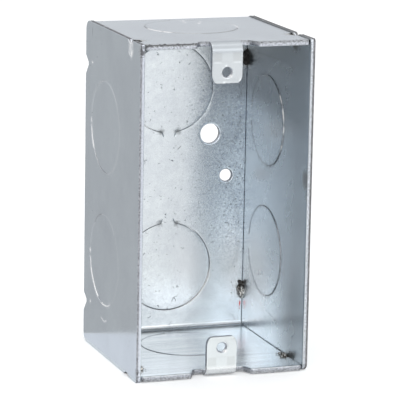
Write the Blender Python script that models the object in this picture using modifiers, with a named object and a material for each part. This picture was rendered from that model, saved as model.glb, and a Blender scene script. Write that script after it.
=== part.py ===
"""Welded rectangular steel box for one wiring device, 4 x 2-1/8 x 2-1/8 inches.

Metres, +Z up. The open front faces -Y, and the origin is the centre of the back's outer face.
One steel strip is blanked flat and folded into the top end, the back and the bottom end, with a
screw ear bent from each end at the open front. Two flat side plates lap the strip's long edges.
Each plate is welded to the strip in four places: a lump of weld metal lies in a small pocket in
the strip's edge, hard against the plate. The round knockouts are sheared in their own sheets and
hang on one tie each, so they are part of those sheets.
"""

import math

import bmesh
import bpy
from mathutils import Matrix, Vector

INCH = 0.0254
MM = 0.001

# The box outside
BOX_HEIGHT = 4.0 * INCH
BOX_WIDTH = 2.125 * INCH
BOX_DEPTH = 2.125 * INCH
SHEET = 0.0625 * INCH

# How the side plates lie on the strip
SEAM_GAP = 0.3 * MM
PLATE_LIP = 0.3 * MM

# Inside radii of the folds
BACK_BEND_RADIUS = 1.6 * MM
EAR_BEND_RADIUS = 1.0 * MM
BEND_STEPS = 8

# Screw ears
EAR_WIDTH = 9.5 * MM
EAR_RECESS = 0.4 * MM
EAR_HOLE_SPACING = 3.28125 * INCH
EAR_HOLE_DIAMETER = 3.3 * MM
EAR_TIP_MARGIN = 3.8 * MM
EAR_CORNER_WIDTH = 1.5 * MM
EAR_CORNER_LENGTH = 2.5 * MM
EAR_CORNER_RADIUS = 4.6 * MM
EAR_TIP_RADIUS = 0.4 * MM

# Reliefs cut into the rim on both sides of each ear
RELIEF_WIDTH = 5.0 * MM
RELIEF_BELOW_BEND = 0.9 * MM
RELIEF_SLOPE = 1.8 * MM
RELIEF_RIM_RADIUS = 1.0 * MM
RELIEF_ROOT_RADIUS = 1.5 * MM
RELIEF_EAR_RADIUS = 0.4 * MM

# Knockouts for 3/4 inch conduit
KNOCKOUT_DIAMETER = 28.2 * MM
KNOCKOUT_SLIT = 0.15 * MM
KNOCKOUT_TIE = 4.7 * MM
TIE_LEG = 2.2 * MM
TIE_LEG_TAPER = 0.8 * MM
KNOCKOUT_STEPS = 40
SIDE_KNOCKOUT_SPACING = 1.625 * INCH
SIDE_KNOCKOUT_FROM_BACK = 0.8125 * INCH
END_KNOCKOUT_FROM_BACK = 0.8125 * INCH
BACK_KNOCKOUT_FROM_END = 0.875 * INCH

# Holes in the back
MOUNT_HOLE_DIAMETER = 0.25 * INCH
MOUNT_HOLE_WEB = 2.9 * MM
MOUNT_HOLE_ANGLE = math.radians(-48.0)
GROUND_HOLE_DIAMETER = 4.3 * MM
GROUND_HOLE_FROM_EDGE = 6.0 * MM
HOLE_STEPS = 24

# Weld pockets in the strip's edges, and the lumps in them
WELD_LENGTH = 4.4 * MM
WELD_REACH = 1.7 * MM
WELD_CLEARANCE = 0.3 * MM
WELD_CROWN = 0.2 * MM
POCKET_STEPS = 12
LUMP_SEGMENTS = 20
LUMP_RINGS = 12
BACK_WELD_FROM_END = 13.3 * MM
LEFT_WELD_FROM_FRONT = 9.5 * MM
RIGHT_WELD_FROM_FRONT = 12.2 * MM

# Notches in the side plates' edges
BACK_NOTCH_DEPTH = 3.7 * MM
BACK_NOTCH_ABOVE = 2.4 * MM
BACK_NOTCH_BELOW = 3.5 * MM
END_NOTCH_DEPTH = 1.0 * MM
END_NOTCH_LENGTH = 4.8 * MM
END_NOTCH_FLOOR = 2.2 * MM
NOTCH_RADIUS = 0.4 * MM

# Corners seen from the side or from above
PLATE_FRONT_RADIUS = 0.8 * MM
WORN_CORNER_RADIUS = 2.0 * MM
RIM_CORNER_RADIUS = 1.0 * MM
CORNER_STEPS = 6

WELD_DISTANCE = 1e-7
SMOOTH_ANGLE = math.radians(35.0)

# Sizes worked out from the ones above
SIDE_INNER_FACE = BOX_WIDTH / 2 - SHEET
STRIP_HALF_WIDTH = SIDE_INNER_FACE - SEAM_GAP
STRIP_HALF_HEIGHT = BOX_HEIGHT / 2 - PLATE_LIP
BACK_BEND_OUTSIDE = BACK_BEND_RADIUS + SHEET
EAR_BEND_OUTSIDE = EAR_BEND_RADIUS + SHEET
RELIEF_DEPTH = EAR_RECESS + EAR_BEND_OUTSIDE + RELIEF_BELOW_BEND
KNOCKOUT_RADIUS = KNOCKOUT_DIAMETER / 2
BACK_KNOCKOUT_HEIGHT = BOX_HEIGHT / 2 - BACK_KNOCKOUT_FROM_END
BACK_WELD_HEIGHT = BOX_HEIGHT / 2 - BACK_WELD_FROM_END

# Lengths along the middle of the sheet, counted from the middle of the back
BACK_MIDDLE_RADIUS = BACK_BEND_RADIUS + SHEET / 2
EAR_MIDDLE_RADIUS = EAR_BEND_RADIUS + SHEET / 2
BACK_BEND_START = STRIP_HALF_HEIGHT - BACK_BEND_OUTSIDE
BACK_BEND_END = BACK_BEND_START + BACK_MIDDLE_RADIUS * math.pi / 2
RIM = BACK_BEND_END + BOX_DEPTH - BACK_BEND_OUTSIDE
EAR_BEND_START = RIM - EAR_RECESS - EAR_BEND_OUTSIDE
EAR_BEND_END = EAR_BEND_START + EAR_MIDDLE_RADIUS * math.pi / 2
EAR_HOLE = EAR_BEND_END + STRIP_HALF_HEIGHT - EAR_BEND_OUTSIDE - EAR_HOLE_SPACING / 2
EAR_TIP = EAR_HOLE + EAR_TIP_MARGIN

STEEL_COLOUR = (0.56, 0.59, 0.62, 1.0)
PLATE_COLOUR = (0.50, 0.53, 0.56, 1.0)
WELD_COLOUR = (0.30, 0.30, 0.31, 1.0)
STEEL_ROUGHNESS = 0.32
PLATE_ROUGHNESS = 0.36
WELD_ROUGHNESS = 0.5
METALLIC = 0.9


def depth_along_strip(depth):
    """Where a point of an end plate, this deep behind the front, lies along the flat blank."""
    return RIM - depth


def rounded(corners):
    """Points of a closed outline given as (x, y, radius) corners, each corner turned into an arc."""
    points = []
    for index, (x, y, radius) in enumerate(corners):
        here = Vector((x, y))
        before = Vector(corners[index - 1][:2]) - here
        after = Vector(corners[(index + 1) % len(corners)][:2]) - here
        angle = before.angle(after)
        reach = radius / math.tan(angle / 2) if radius else 0.0
        reach = min(reach, 0.5 * before.length, 0.5 * after.length)
        if reach <= 0.0:
            points.append(here)
            continue
        used = reach * math.tan(angle / 2)
        middle = (before.normalized() + after.normalized()).normalized()
        centre = here + middle * (used / math.sin(angle / 2))
        first = here + before.normalized() * reach - centre
        sweep = first.angle_signed(here + after.normalized() * reach - centre)
        for step in range(CORNER_STEPS + 1):
            turn = -sweep * step / CORNER_STEPS
            cos, sin = math.cos(turn), math.sin(turn)
            spoke = Vector((first.x * cos - first.y * sin, first.x * sin + first.y * cos))
            points.append(centre + spoke)
    return points


def circle(x, y, diameter):
    """Points of a round hole."""
    turns = [2 * math.pi * step / HOLE_STEPS for step in range(HOLE_STEPS)]
    return [Vector((x + diameter / 2 * math.cos(t), y + diameter / 2 * math.sin(t))) for t in turns]


def knockout_slit(x, y, tie_angle):
    """Outline of the sheared slit round a knockout. Its two ends turn out beside the tie."""
    half_tie = math.asin(KNOCKOUT_TIE / 2 / KNOCKOUT_RADIUS)
    sweep = 2 * math.pi - 2 * half_tie
    turns = [half_tie + sweep * step / KNOCKOUT_STEPS for step in range(KNOCKOUT_STEPS + 1)]
    middle = [Vector((math.cos(t), math.sin(t))) * KNOCKOUT_RADIUS for t in turns]
    leg_end = KNOCKOUT_RADIUS * math.cos(half_tie) + TIE_LEG
    leg_side = KNOCKOUT_TIE / 2 - TIE_LEG_TAPER
    middle.insert(0, Vector((leg_end, leg_side)))
    middle.append(Vector((leg_end, -leg_side)))
    left, right = [], []
    last = len(middle) - 1
    for index, point in enumerate(middle):
        ahead = (middle[index + 1] - point if index < last else point - middle[index - 1]).normalized()
        behind = (point - middle[index - 1] if index > 0 else middle[1] - point).normalized()
        normal = Vector((-ahead.y - behind.y, ahead.x + behind.x)).normalized()
        reach = KNOCKOUT_SLIT / 2 / normal.dot(Vector((-ahead.y, ahead.x)))
        left.append(point + normal * reach)
        right.append(point - normal * reach)
    cos, sin = math.cos(tie_angle), math.sin(tie_angle)
    return [Vector((x + p.x * cos - p.y * sin, y + p.x * sin + p.y * cos)) for p in left + right[::-1]]


def weld_pocket(along):
    """Points of a half-round pocket in the strip's right edge, for a weld this far along the blank."""
    turns = [math.pi * step / POCKET_STEPS for step in range(POCKET_STEPS + 1)]
    return [
        (STRIP_HALF_WIDTH - WELD_REACH * math.sin(t), along - WELD_LENGTH / 2 * math.cos(t), 0.0)
        for t in turns
    ]


def filled_mesh(name, loops, thickness):
    """Mesh of a flat outline with holes, from a filled 2D curve."""
    curve = bpy.data.curves.new(name + "_outline", "CURVE")
    curve.dimensions = "2D"
    curve.fill_mode = "BOTH"
    curve.extrude = thickness / 2
    for loop in loops:
        spline = curve.splines.new("POLY")
        spline.points.add(len(loop) - 1)
        for place, point in zip(spline.points, loop):
            place.co = (point.x, point.y, 0.0, 1.0)
        spline.use_cyclic_u = True
    outline = bpy.data.objects.new(name + "_outline", curve)
    bpy.context.scene.collection.objects.link(outline)
    graph = bpy.context.evaluated_depsgraph_get()
    mesh = bpy.data.meshes.new_from_object(outline.evaluated_get(graph))
    mesh.name = name
    bpy.data.objects.remove(outline)
    bpy.data.curves.remove(curve)
    sheet = bmesh.new()
    sheet.from_mesh(mesh)
    bmesh.ops.remove_doubles(sheet, verts=sheet.verts, dist=WELD_DISTANCE)
    sheet.to_mesh(mesh)
    sheet.free()
    return mesh


def steel(name, colour, roughness):
    """Galvanised steel for one sub-part."""
    material = bpy.data.materials.new(name)
    material.use_nodes = True
    shader = material.node_tree.nodes["Principled BSDF"]
    shader.inputs["Base Color"].default_value = colour
    shader.inputs["Metallic"].default_value = METALLIC
    shader.inputs["Roughness"].default_value = roughness
    return material


def add_part(name, mesh, collection, colour, roughness):
    """One named object with its own material, shaded smooth over its folds."""
    part = bpy.data.objects.new(name, mesh)
    collection.objects.link(part)
    mesh.materials.clear()
    mesh.materials.append(steel(name + "_steel", colour, roughness))
    mesh.shade_smooth()
    mesh.set_sharp_from_angle(angle=SMOOTH_ANGLE)
    return part


def fold(x, along):
    """Where a point of the flat blank's middle surface comes to lie when the strip is folded."""
    up = math.copysign(1.0, along)
    run = abs(along)
    on_ear = abs(x) < EAR_WIDTH / 2 + RELIEF_WIDTH / 4
    if on_ear and run > EAR_BEND_START:
        centre_depth = -BOX_DEPTH + EAR_RECESS + EAR_BEND_OUTSIDE
        centre_height = STRIP_HALF_HEIGHT - EAR_BEND_OUTSIDE
        turn = min((run - EAR_BEND_START) / EAR_MIDDLE_RADIUS, math.pi / 2)
        depth = centre_depth - EAR_MIDDLE_RADIUS * math.sin(turn)
        height = centre_height + EAR_MIDDLE_RADIUS * math.cos(turn) - max(run - EAR_BEND_END, 0.0)
    elif run > BACK_BEND_START:
        turn = min((run - BACK_BEND_START) / BACK_MIDDLE_RADIUS, math.pi / 2)
        past = max(run - BACK_BEND_END, 0.0)
        depth = -BACK_BEND_OUTSIDE + BACK_MIDDLE_RADIUS * math.cos(turn) - past
        height = BACK_BEND_START + BACK_MIDDLE_RADIUS * math.sin(turn)
    else:
        depth = -SHEET / 2
        height = run
    return Vector((x, depth, up * height))


def blank_outline():
    """Outline of the flat blank, with rim reliefs, ears and a weld pocket at every weld."""
    ear = EAR_WIDTH / 2
    relief = ear + RELIEF_WIDTH
    floor = RIM - RELIEF_DEPTH

    def half_edge(weld_from_front):
        """The blank's edge from its middle to the ear's tip, on the right of its centre line."""
        edge = weld_pocket(BACK_WELD_HEIGHT)
        edge += weld_pocket(depth_along_strip(weld_from_front))
        edge += [
            (STRIP_HALF_WIDTH, RIM, RIM_CORNER_RADIUS),
            (relief, RIM, RELIEF_RIM_RADIUS),
            (relief - RELIEF_SLOPE, floor, RELIEF_ROOT_RADIUS),
            (ear, floor, RELIEF_EAR_RADIUS),
            (ear, EAR_TIP - EAR_CORNER_LENGTH, EAR_CORNER_RADIUS),
            (ear - EAR_CORNER_WIDTH, EAR_TIP, EAR_TIP_RADIUS),
        ]
        return edge

    right = half_edge(RIGHT_WELD_FROM_FRONT)
    left = [(-x, y, r) for x, y, r in half_edge(LEFT_WELD_FROM_FRONT)]
    lower_left = [(x, -y, r) for x, y, r in left]
    lower_right = [(x, -y, r) for x, y, r in right]
    return rounded(right + left[::-1] + lower_left + lower_right[::-1])


def blank_holes():
    """Knockouts, ear holes, fixing holes and the earth screw's hole, in the flat blank."""
    end_knockout = BACK_BEND_END + END_KNOCKOUT_FROM_BACK - BACK_BEND_OUTSIDE
    mount_reach = KNOCKOUT_RADIUS + MOUNT_HOLE_WEB + MOUNT_HOLE_DIAMETER / 2
    mount_x = mount_reach * math.cos(MOUNT_HOLE_ANGLE)
    mount_z = BACK_KNOCKOUT_HEIGHT + mount_reach * math.sin(MOUNT_HOLE_ANGLE)
    ground_x = STRIP_HALF_WIDTH - GROUND_HOLE_FROM_EDGE
    holes = [
        circle(mount_x, mount_z, MOUNT_HOLE_DIAMETER),
        circle(-mount_x, -mount_z, MOUNT_HOLE_DIAMETER),
        circle(ground_x, 0.0, GROUND_HOLE_DIAMETER),
    ]
    for up in (1, -1):
        inward = -up * math.pi / 2
        holes.append(knockout_slit(0.0, up * BACK_KNOCKOUT_HEIGHT, inward))
        holes.append(knockout_slit(0.0, up * end_knockout, inward))
        holes.append(circle(0.0, up * EAR_HOLE, EAR_HOLE_DIAMETER))
    return holes


def add_strip(collection):
    """The folded strip: top end, back, bottom end and both ears from one blank."""
    mesh = filled_mesh("body_strip", [blank_outline()] + blank_holes(), 0.0)
    blank = bmesh.new()
    blank.from_mesh(mesh)
    bends = ((BACK_BEND_START, BACK_BEND_END), (EAR_BEND_START, EAR_BEND_END))
    for start, end in bends:
        for step in range(BEND_STEPS + 1):
            along = start + (end - start) * step / BEND_STEPS
            for up in (1, -1):
                bmesh.ops.bisect_plane(
                    blank,
                    geom=blank.verts[:] + blank.edges[:] + blank.faces[:],
                    dist=WELD_DISTANCE,
                    plane_co=(0.0, up * along, 0.0),
                    plane_no=(0.0, 1.0, 0.0),
                )
    for vertex in blank.verts:
        vertex.co = fold(vertex.co.x, vertex.co.y)
    bmesh.ops.recalc_face_normals(blank, faces=blank.faces)
    blank.to_mesh(mesh)
    blank.free()
    strip = add_part("body_strip", mesh, collection, STEEL_COLOUR, STEEL_ROUGHNESS)
    solid = strip.modifiers.new("sheet_thickness", "SOLIDIFY")
    solid.thickness = SHEET
    solid.offset = 0.0
    solid.use_even_offset = True
    return strip


def back_notch(height):
    """Corners of the notch in a side plate's back edge, steep above its root and gentle below."""
    return [
        (0.0, height - BACK_NOTCH_BELOW, NOTCH_RADIUS),
        (-BACK_NOTCH_DEPTH, height, NOTCH_RADIUS),
        (0.0, height + BACK_NOTCH_ABOVE, NOTCH_RADIUS),
    ]


def end_notch(from_front, up):
    """Corners of the shallow notch in a side plate's top or bottom edge, from back to front."""
    middle = from_front - BOX_DEPTH
    edge = up * BOX_HEIGHT / 2
    floor = edge - up * END_NOTCH_DEPTH
    return [
        (middle + END_NOTCH_LENGTH / 2, edge, NOTCH_RADIUS),
        (middle + END_NOTCH_FLOOR / 2, floor, NOTCH_RADIUS),
        (middle - END_NOTCH_FLOOR / 2, floor, NOTCH_RADIUS),
        (middle - END_NOTCH_LENGTH / 2, edge, NOTCH_RADIUS),
    ]


def add_side_plate(name, side, weld_from_front, lower_front_radius, collection):
    """A flat side plate with two knockouts. Its back corners follow the strip's outside bends."""
    half = BOX_HEIGHT / 2
    outline = [(0.0, -half, BACK_BEND_OUTSIDE)]
    outline += back_notch(-BACK_WELD_HEIGHT)
    outline += back_notch(BACK_WELD_HEIGHT)
    outline.append((0.0, half, BACK_BEND_OUTSIDE))
    outline += end_notch(weld_from_front, 1)
    outline.append((-BOX_DEPTH, half, PLATE_FRONT_RADIUS))
    outline.append((-BOX_DEPTH, -half, lower_front_radius))
    outline += end_notch(weld_from_front, -1)[::-1]
    loops = [rounded(outline)]
    for up in (1, -1):
        loops.append(knockout_slit(-SIDE_KNOCKOUT_FROM_BACK, up * SIDE_KNOCKOUT_SPACING / 2, 0.0))
    plate = add_part(name, filled_mesh(name, loops, SHEET), collection, PLATE_COLOUR, PLATE_ROUGHNESS)
    plate.rotation_euler = (math.pi / 2, 0.0, math.pi / 2)
    plate.location = (side * (SIDE_INNER_FACE + SHEET / 2), 0.0, 0.0)
    return plate


def weld_mesh():
    """A lump of weld metal: half an egg with its flat face up, long in X and as deep as its pocket."""
    lump = bmesh.new()
    bmesh.ops.create_uvsphere(lump, u_segments=LUMP_SEGMENTS, v_segments=LUMP_RINGS, radius=1.0)
    cut = bmesh.ops.bisect_plane(
        lump,
        geom=lump.verts[:] + lump.edges[:] + lump.faces[:],
        dist=WELD_DISTANCE,
        plane_co=(0.0, 0.0, 0.0),
        plane_no=(0.0, 0.0, 1.0),
        clear_outer=True,
    )
    rim = [item for item in cut["geom_cut"] if isinstance(item, bmesh.types.BMEdge)]
    bmesh.ops.contextual_create(lump, geom=rim)
    size = (WELD_LENGTH / 2 - WELD_CLEARANCE, SHEET / 2, WELD_REACH - WELD_CLEARANCE)
    bmesh.ops.scale(lump, vec=size, verts=lump.verts)
    bmesh.ops.recalc_face_normals(lump, faces=lump.faces)
    mesh = bpy.data.meshes.new("weld_lump")
    lump.to_mesh(mesh)
    lump.free()
    return mesh


def add_welds(collection):
    """The eight weld lumps. Each one's flat face lies in the plane of the strip's edge.

    A lump stands proud of the sheet inside the box and stays as far below the sheet's outer face.
    """
    middle = SHEET / 2 + WELD_CROWN
    for side_name, side, from_front in (
        ("left", -1, LEFT_WELD_FROM_FRONT),
        ("right", 1, RIGHT_WELD_FROM_FRONT),
    ):
        depth = from_front - BOX_DEPTH
        places = (
            ("back_upper", (-middle, BACK_WELD_HEIGHT), True),
            ("back_lower", (-middle, -BACK_WELD_HEIGHT), True),
            ("top", (depth, STRIP_HALF_HEIGHT - middle), False),
            ("bottom", (depth, middle - STRIP_HALF_HEIGHT), False),
        )
        for place_name, (y, z), upright in places:
            name = "weld_" + side_name + "_" + place_name
            lump = add_part(name, weld_mesh(), collection, WELD_COLOUR, WELD_ROUGHNESS)
            along = Vector((0.0, 0.0, 1.0)) if upright else Vector((0.0, 1.0, 0.0))
            out = Vector((side, 0.0, 0.0))
            axes = Matrix((along, out.cross(along), out)).transposed()
            lump.rotation_euler = axes.to_euler()
            lump.location = (side * STRIP_HALF_WIDTH, y, z)


def main():
    for old in list(bpy.data.objects):
        bpy.data.objects.remove(old)
    collection = bpy.data.collections.new("rectangular_box")
    bpy.context.scene.collection.children.link(collection)
    add_strip(collection)
    add_side_plate("left_side_plate", -1, LEFT_WELD_FROM_FRONT, PLATE_FRONT_RADIUS, collection)
    add_side_plate("right_side_plate", 1, RIGHT_WELD_FROM_FRONT, WORN_CORNER_RADIUS, collection)
    add_welds(collection)


main()
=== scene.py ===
"""Looks of a welded steel wiring box: one folded strip, two side plates and eight welds.

Every sheet is meshed again from its flat outline, with rolled and torn cut edges, sheared knockouts,
press marks and tapped holes, and then folded. Flat work is in millimetres; meshes are in metres.
"""

import logging
import math
from abc import ABC, abstractmethod
from dataclasses import dataclass, replace
from enum import Enum
from typing import Any

import bmesh
import bpy
import numpy as np
from mathutils import Matrix, Vector, noise
from mathutils.geometry import delaunay_2d_cdt

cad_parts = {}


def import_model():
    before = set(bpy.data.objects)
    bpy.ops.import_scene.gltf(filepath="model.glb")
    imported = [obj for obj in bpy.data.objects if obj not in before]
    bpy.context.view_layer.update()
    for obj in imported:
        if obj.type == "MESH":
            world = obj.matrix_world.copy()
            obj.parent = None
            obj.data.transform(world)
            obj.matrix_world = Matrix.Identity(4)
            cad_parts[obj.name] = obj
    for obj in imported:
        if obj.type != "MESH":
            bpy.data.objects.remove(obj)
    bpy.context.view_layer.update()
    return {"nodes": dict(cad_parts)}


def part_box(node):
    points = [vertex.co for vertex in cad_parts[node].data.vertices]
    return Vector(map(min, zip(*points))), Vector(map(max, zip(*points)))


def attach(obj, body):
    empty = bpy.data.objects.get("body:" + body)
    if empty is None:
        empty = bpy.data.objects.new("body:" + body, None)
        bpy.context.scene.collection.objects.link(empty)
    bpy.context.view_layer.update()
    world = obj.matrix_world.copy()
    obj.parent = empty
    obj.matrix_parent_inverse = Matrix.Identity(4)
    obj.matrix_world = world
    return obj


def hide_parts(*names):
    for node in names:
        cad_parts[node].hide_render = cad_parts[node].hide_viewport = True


LOG = logging.getLogger("steel_box")
MM = 0.001
INCH = 25.4
BODY = "root"

WHITE = (1.0, 1.0, 1.0)

Array = np.ndarray
Socket = bpy.types.NodeSocket
Triple = tuple[float, float, float]
Colour = Triple


class Cut(Enum):
    """How an edge of the sheet was made."""

    SHEARED = "sheared"
    BLANKED = "blanked"
    PUNCHED = "punched"
    KNOCKOUT = "knockout"
    TAPPED = "tapped"


@dataclass(frozen=True)
class CutEdge:
    """Shape of a cut edge across the sheet, in millimetres.

    The blade pulls the entry face down into a rolled rim, and the far half of the cut tears.
    """

    roll: float
    entry_drop: float
    exit_drop: float
    fracture: float
    rows: int = 8
    thread_pitch: float = 0.0
    thread_depth: float = 0.0


CUT_EDGES = {
    Cut.SHEARED: CutEdge(roll=0.34, entry_drop=0.20, exit_drop=0.03, fracture=0.09),
    Cut.BLANKED: CutEdge(roll=0.36, entry_drop=0.30, exit_drop=0.05, fracture=0.07),
    Cut.PUNCHED: CutEdge(roll=0.40, entry_drop=0.20, exit_drop=0.05, fracture=0.07),
    Cut.KNOCKOUT: CutEdge(roll=0.22, entry_drop=0.10, exit_drop=0.10, fracture=0.0),
    Cut.TAPPED: CutEdge(
        roll=0.30,
        entry_drop=0.18,
        exit_drop=0.10,
        fracture=0.0,
        rows=22,
        thread_pitch=INCH / 32,
        thread_depth=0.26,
    ),
}
RING_SHARES = (0.1, 0.3, 0.6, 1.0)
EDGE_SPACING = 0.55
GRID_SPACING = 1.25
FILL_CLEARANCE = 0.45
TEAR_BAND = (0.42, 0.58)
HINGE_SHARE = 0.93
CORNER_STEPS = 8
SLIT_STEPS = 132
HOLE_STEPS = 64


def eased(value: Array, low: float, high: float) -> Array:
    """Eased step from 0 at low to 1 at high."""
    share = np.clip((value - low) / (high - low), 0.0, 1.0)
    return share * share * (3.0 - 2.0 * share)


def bell(value: Array, middle: float, width: float) -> Array:
    """Bell curve: 1 at the middle, and about a third one width away from it."""
    return np.exp(-(((value - middle) / width) ** 2))


def arc_share(angle: Array, arc: tuple[float, float]) -> Array:
    """How far angles lie in an arc, from 0 to 1.

    Args:
        angle: Angles in degrees.
        arc: Middle and half width of the arc, in degrees.

    Returns:
        One value from 0 to 1 for each angle.
    """
    middle, half = arc
    turned = abs((angle - middle + 180.0) % 360.0 - 180.0)
    return eased(-turned, -half, -0.6 * half)


def ripple(points: Array, size: float, seed: float) -> Array:
    """Seeded fractal noise at each point.

    Args:
        points: Flat or solid points, one a row.
        size: Wavelength, in the points' own unit.
        seed: Shift of the noise, so that no two uses match.

    Returns:
        One number from about -1 to 1 for each point.
    """
    solid = np.zeros((len(points), 3))
    solid[:, : points.shape[1]] = points / size
    solid[:, 2] += seed
    return np.array([noise.fractal(Vector(p), 1.0, 2.0, 3) for p in solid])


def distance_to_segments(points: Array, starts: Array, ends: Array) -> tuple[Array, Array]:
    """Distance from each flat point to the nearest of many segments.

    Args:
        points: Flat points, one a row.
        starts: First ends of the segments.
        ends: Second ends of the segments.

    Returns:
        The distances, and the index of each point's nearest segment.
    """
    run = ends - starts
    length = np.maximum((run**2).sum(1), 1e-12)
    best = np.empty(len(points))
    nearest = np.empty(len(points), int)
    chunk = 400
    for first in range(0, len(points), chunk):
        part = points[first : first + chunk, None, :] - starts[None]
        share = np.clip((part * run[None]).sum(2) / length[None], 0.0, 1.0)
        gap = ((part - share[..., None] * run[None]) ** 2).sum(2)
        index = gap.argmin(1)
        nearest[first : first + chunk] = index
        best[first : first + chunk] = np.sqrt(gap[np.arange(len(index)), index])
    return best, nearest


def round_corners(corners: list[Triple]) -> Array:
    """Turns (x, y, radius) corners of a closed outline into arcs.

    Args:
        corners: Corners in order, each with its own radius.

    Returns:
        The outline's points.
    """
    points: list[Vector] = []
    for index, (x, y, radius) in enumerate(corners):
        here = Vector((x, y))
        before = Vector(corners[index - 1][:2]) - here
        after = Vector(corners[(index + 1) % len(corners)][:2]) - here
        angle = before.angle(after)
        reach = radius / math.tan(angle / 2) if radius else 0.0
        reach = min(reach, 0.5 * before.length, 0.5 * after.length)
        if reach <= 0.0:
            points.append(here)
            continue
        middle = (before.normalized() + after.normalized()).normalized()
        centre = here + middle * (reach * math.tan(angle / 2) / math.sin(angle / 2))
        first = here + before.normalized() * reach - centre
        sweep = first.angle_signed(here + after.normalized() * reach - centre)
        for step in range(CORNER_STEPS + 1):
            turn = -sweep * step / CORNER_STEPS
            cos, sin = math.cos(turn), math.sin(turn)
            points.append(centre + Vector((first.x * cos - first.y * sin, first.x * sin + first.y * cos)))
    return np.array([p[:] for p in points])


def split_long_edges(points: Array, spacing: float) -> Array:
    """Adds points to a closed outline until no edge is longer than the spacing.

    Args:
        points: Flat points of the outline.
        spacing: Longest edge that stays whole.

    Returns:
        The finer outline.
    """
    finer = []
    for here, after in zip(points, np.roll(points, -1, axis=0)):
        parts = max(1, math.ceil(float(np.linalg.norm(after - here)) / spacing))
        finer += [here + (after - here) * step / parts for step in range(parts)]
    return np.array(finer)


def round_hole(x: float, y: float, diameter: float) -> Array:
    """Points of a round hole, in millimetres."""
    turns = np.linspace(0.0, 2 * np.pi, HOLE_STEPS, endpoint=False)
    return np.stack([x + diameter / 2 * np.cos(turns), y + diameter / 2 * np.sin(turns)], 1)


@dataclass(frozen=True)
class Knockout:
    """A round slug sheared in its sheet and left on one tie, in the flat sheet's millimetres.

    Arcs are given in degrees by their middle and half width. Ring is the painted highlight round the slit,
    gleams are its painted bright arcs, and the dark arc is where its painted shade and grime show most.
    """

    x: float
    y: float
    tie_angle: float
    lean: float
    slit: float = 0.10
    tilt: float = 0.0
    gleam_width: float = 0.19
    gleam_thin: float = 0.0
    gleams: tuple[tuple[float, float], ...] = ()
    ring: float = 0.0
    shade_and_grime_width: float = 0.17
    dark_arc: tuple[float, float] | None = None
    diameter: float = 28.2
    tie: float = 4.7
    leg: float = 1.5
    leg_taper: float = 0.55

    def slit_outline(self) -> Array:
        """Closed outline of the slit, whose ends turn out beside the tie.

        Returns:
            Flat points, once round the slit.
        """
        radius = self.diameter / 2
        half_tie = math.asin(self.tie / 2 / radius)
        turns = np.linspace(half_tie, 2 * np.pi - half_tie, SLIT_STEPS + 1)
        arc = np.stack([np.cos(turns), np.sin(turns)], 1) * radius
        leg_end = radius * math.cos(half_tie) + self.leg
        leg_side = self.tie / 2 - self.leg_taper
        steps = np.linspace(0.0, 1.0, 5)[:-1, None]
        first = np.array([leg_end, leg_side])
        last = np.array([leg_end, -leg_side])
        middle = np.concatenate(
            [first + (arc[0] - first) * steps, arc, (last + (arc[-1] - last) * steps)[::-1]]
        )
        ahead = np.diff(middle, axis=0)
        ahead /= np.linalg.norm(ahead, axis=1)[:, None]
        normals = np.concatenate([ahead[:1], ahead[:-1] + ahead[1:], ahead[-1:]])
        normals /= np.linalg.norm(normals, axis=1)[:, None]
        side = np.stack([-normals[:, 1], normals[:, 0]], 1) * self.slit / 2
        both = np.concatenate([middle + side, (middle - side)[::-1]])
        return both @ self.turn().T + (self.x, self.y)

    def turn(self) -> Array:
        """Rotation that points the tie along its angle."""
        cos, sin = math.cos(self.tie_angle), math.sin(self.tie_angle)
        return np.array([[cos, -sin], [sin, cos]])

    def offset(self, flat: Array) -> Array:
        """How far the slug leans out of its sheet at each flat point, hinged on its tie.

        Args:
            flat: Flat points of the whole sheet.

        Returns:
            Distances across the sheet in millimetres, 0 outside the slug.
        """
        local = (flat - (self.x, self.y)) @ self.turn()
        radius = self.diameter / 2
        inside = np.hypot(local[:, 0], local[:, 1]) < radius
        hinge = radius * HINGE_SHARE
        share = np.clip((hinge - local[:, 0]) / (hinge + radius), 0.0, 1.0)
        slope = (1.0 - self.tilt * local[:, 1] / radius) / (1.0 + abs(self.tilt))
        return np.where(inside, self.lean * share**0.3 * slope, 0.0)

    def painted_gleam(self, flat: Array) -> Array:
        """Painted highlight along the slit's rim.

        Args:
            flat: Flat points.

        Returns:
            Values from 0 to 1.
        """
        spoke = flat - (self.x, self.y)
        away = np.hypot(spoke[:, 0], spoke[:, 1]) - self.diameter / 2
        turn = np.arctan2(spoke[:, 1], spoke[:, 0])
        rim = bell(away, 0.0, self.gleam_width * (1.0 - self.gleam_thin * np.sin(turn) ** 4))
        result = self.ring * rim
        for arc in self.gleams:
            result = np.maximum(result, rim * arc_share(np.degrees(turn), arc))
        return result

    def groove(self, flat: Array) -> Array:
        """Dark line along the slit: painted shade in the slit, with its grime.

        Args:
            flat: Flat points.

        Returns:
            Values from 0 to 1.
        """
        local = (flat - (self.x, self.y)) @ self.turn()
        away = np.hypot(local[:, 0], local[:, 1]) - self.diameter / 2
        tied = (local[:, 0] > 0) & (abs(local[:, 1]) < self.tie / 2)
        line = np.where(tied, 0.0, bell(away, 0.0, self.shade_and_grime_width))
        if self.dark_arc is None:
            return line
        angle = np.degrees(np.arctan2(local[:, 1], local[:, 0]))
        return line * (0.25 + 0.75 * arc_share(angle, self.dark_arc))


def mitred_normals(points: Array) -> Array:
    """Mitred normals at the points of a closed cut, to the left of its run.

    Args:
        points: Flat points of the cut, in order.

    Returns:
        One normal for each point, longer at a sharp corner.
    """
    ahead = np.roll(points, -1, axis=0) - points
    ahead /= np.maximum(np.linalg.norm(ahead, axis=1), 1e-9)[:, None]
    left = np.stack([-ahead[:, 1], ahead[:, 0]], 1)
    both = left + np.roll(left, 1, axis=0)
    size = np.maximum((both**2).sum(1), 0.6)
    return both * 2 / size[:, None]


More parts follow.
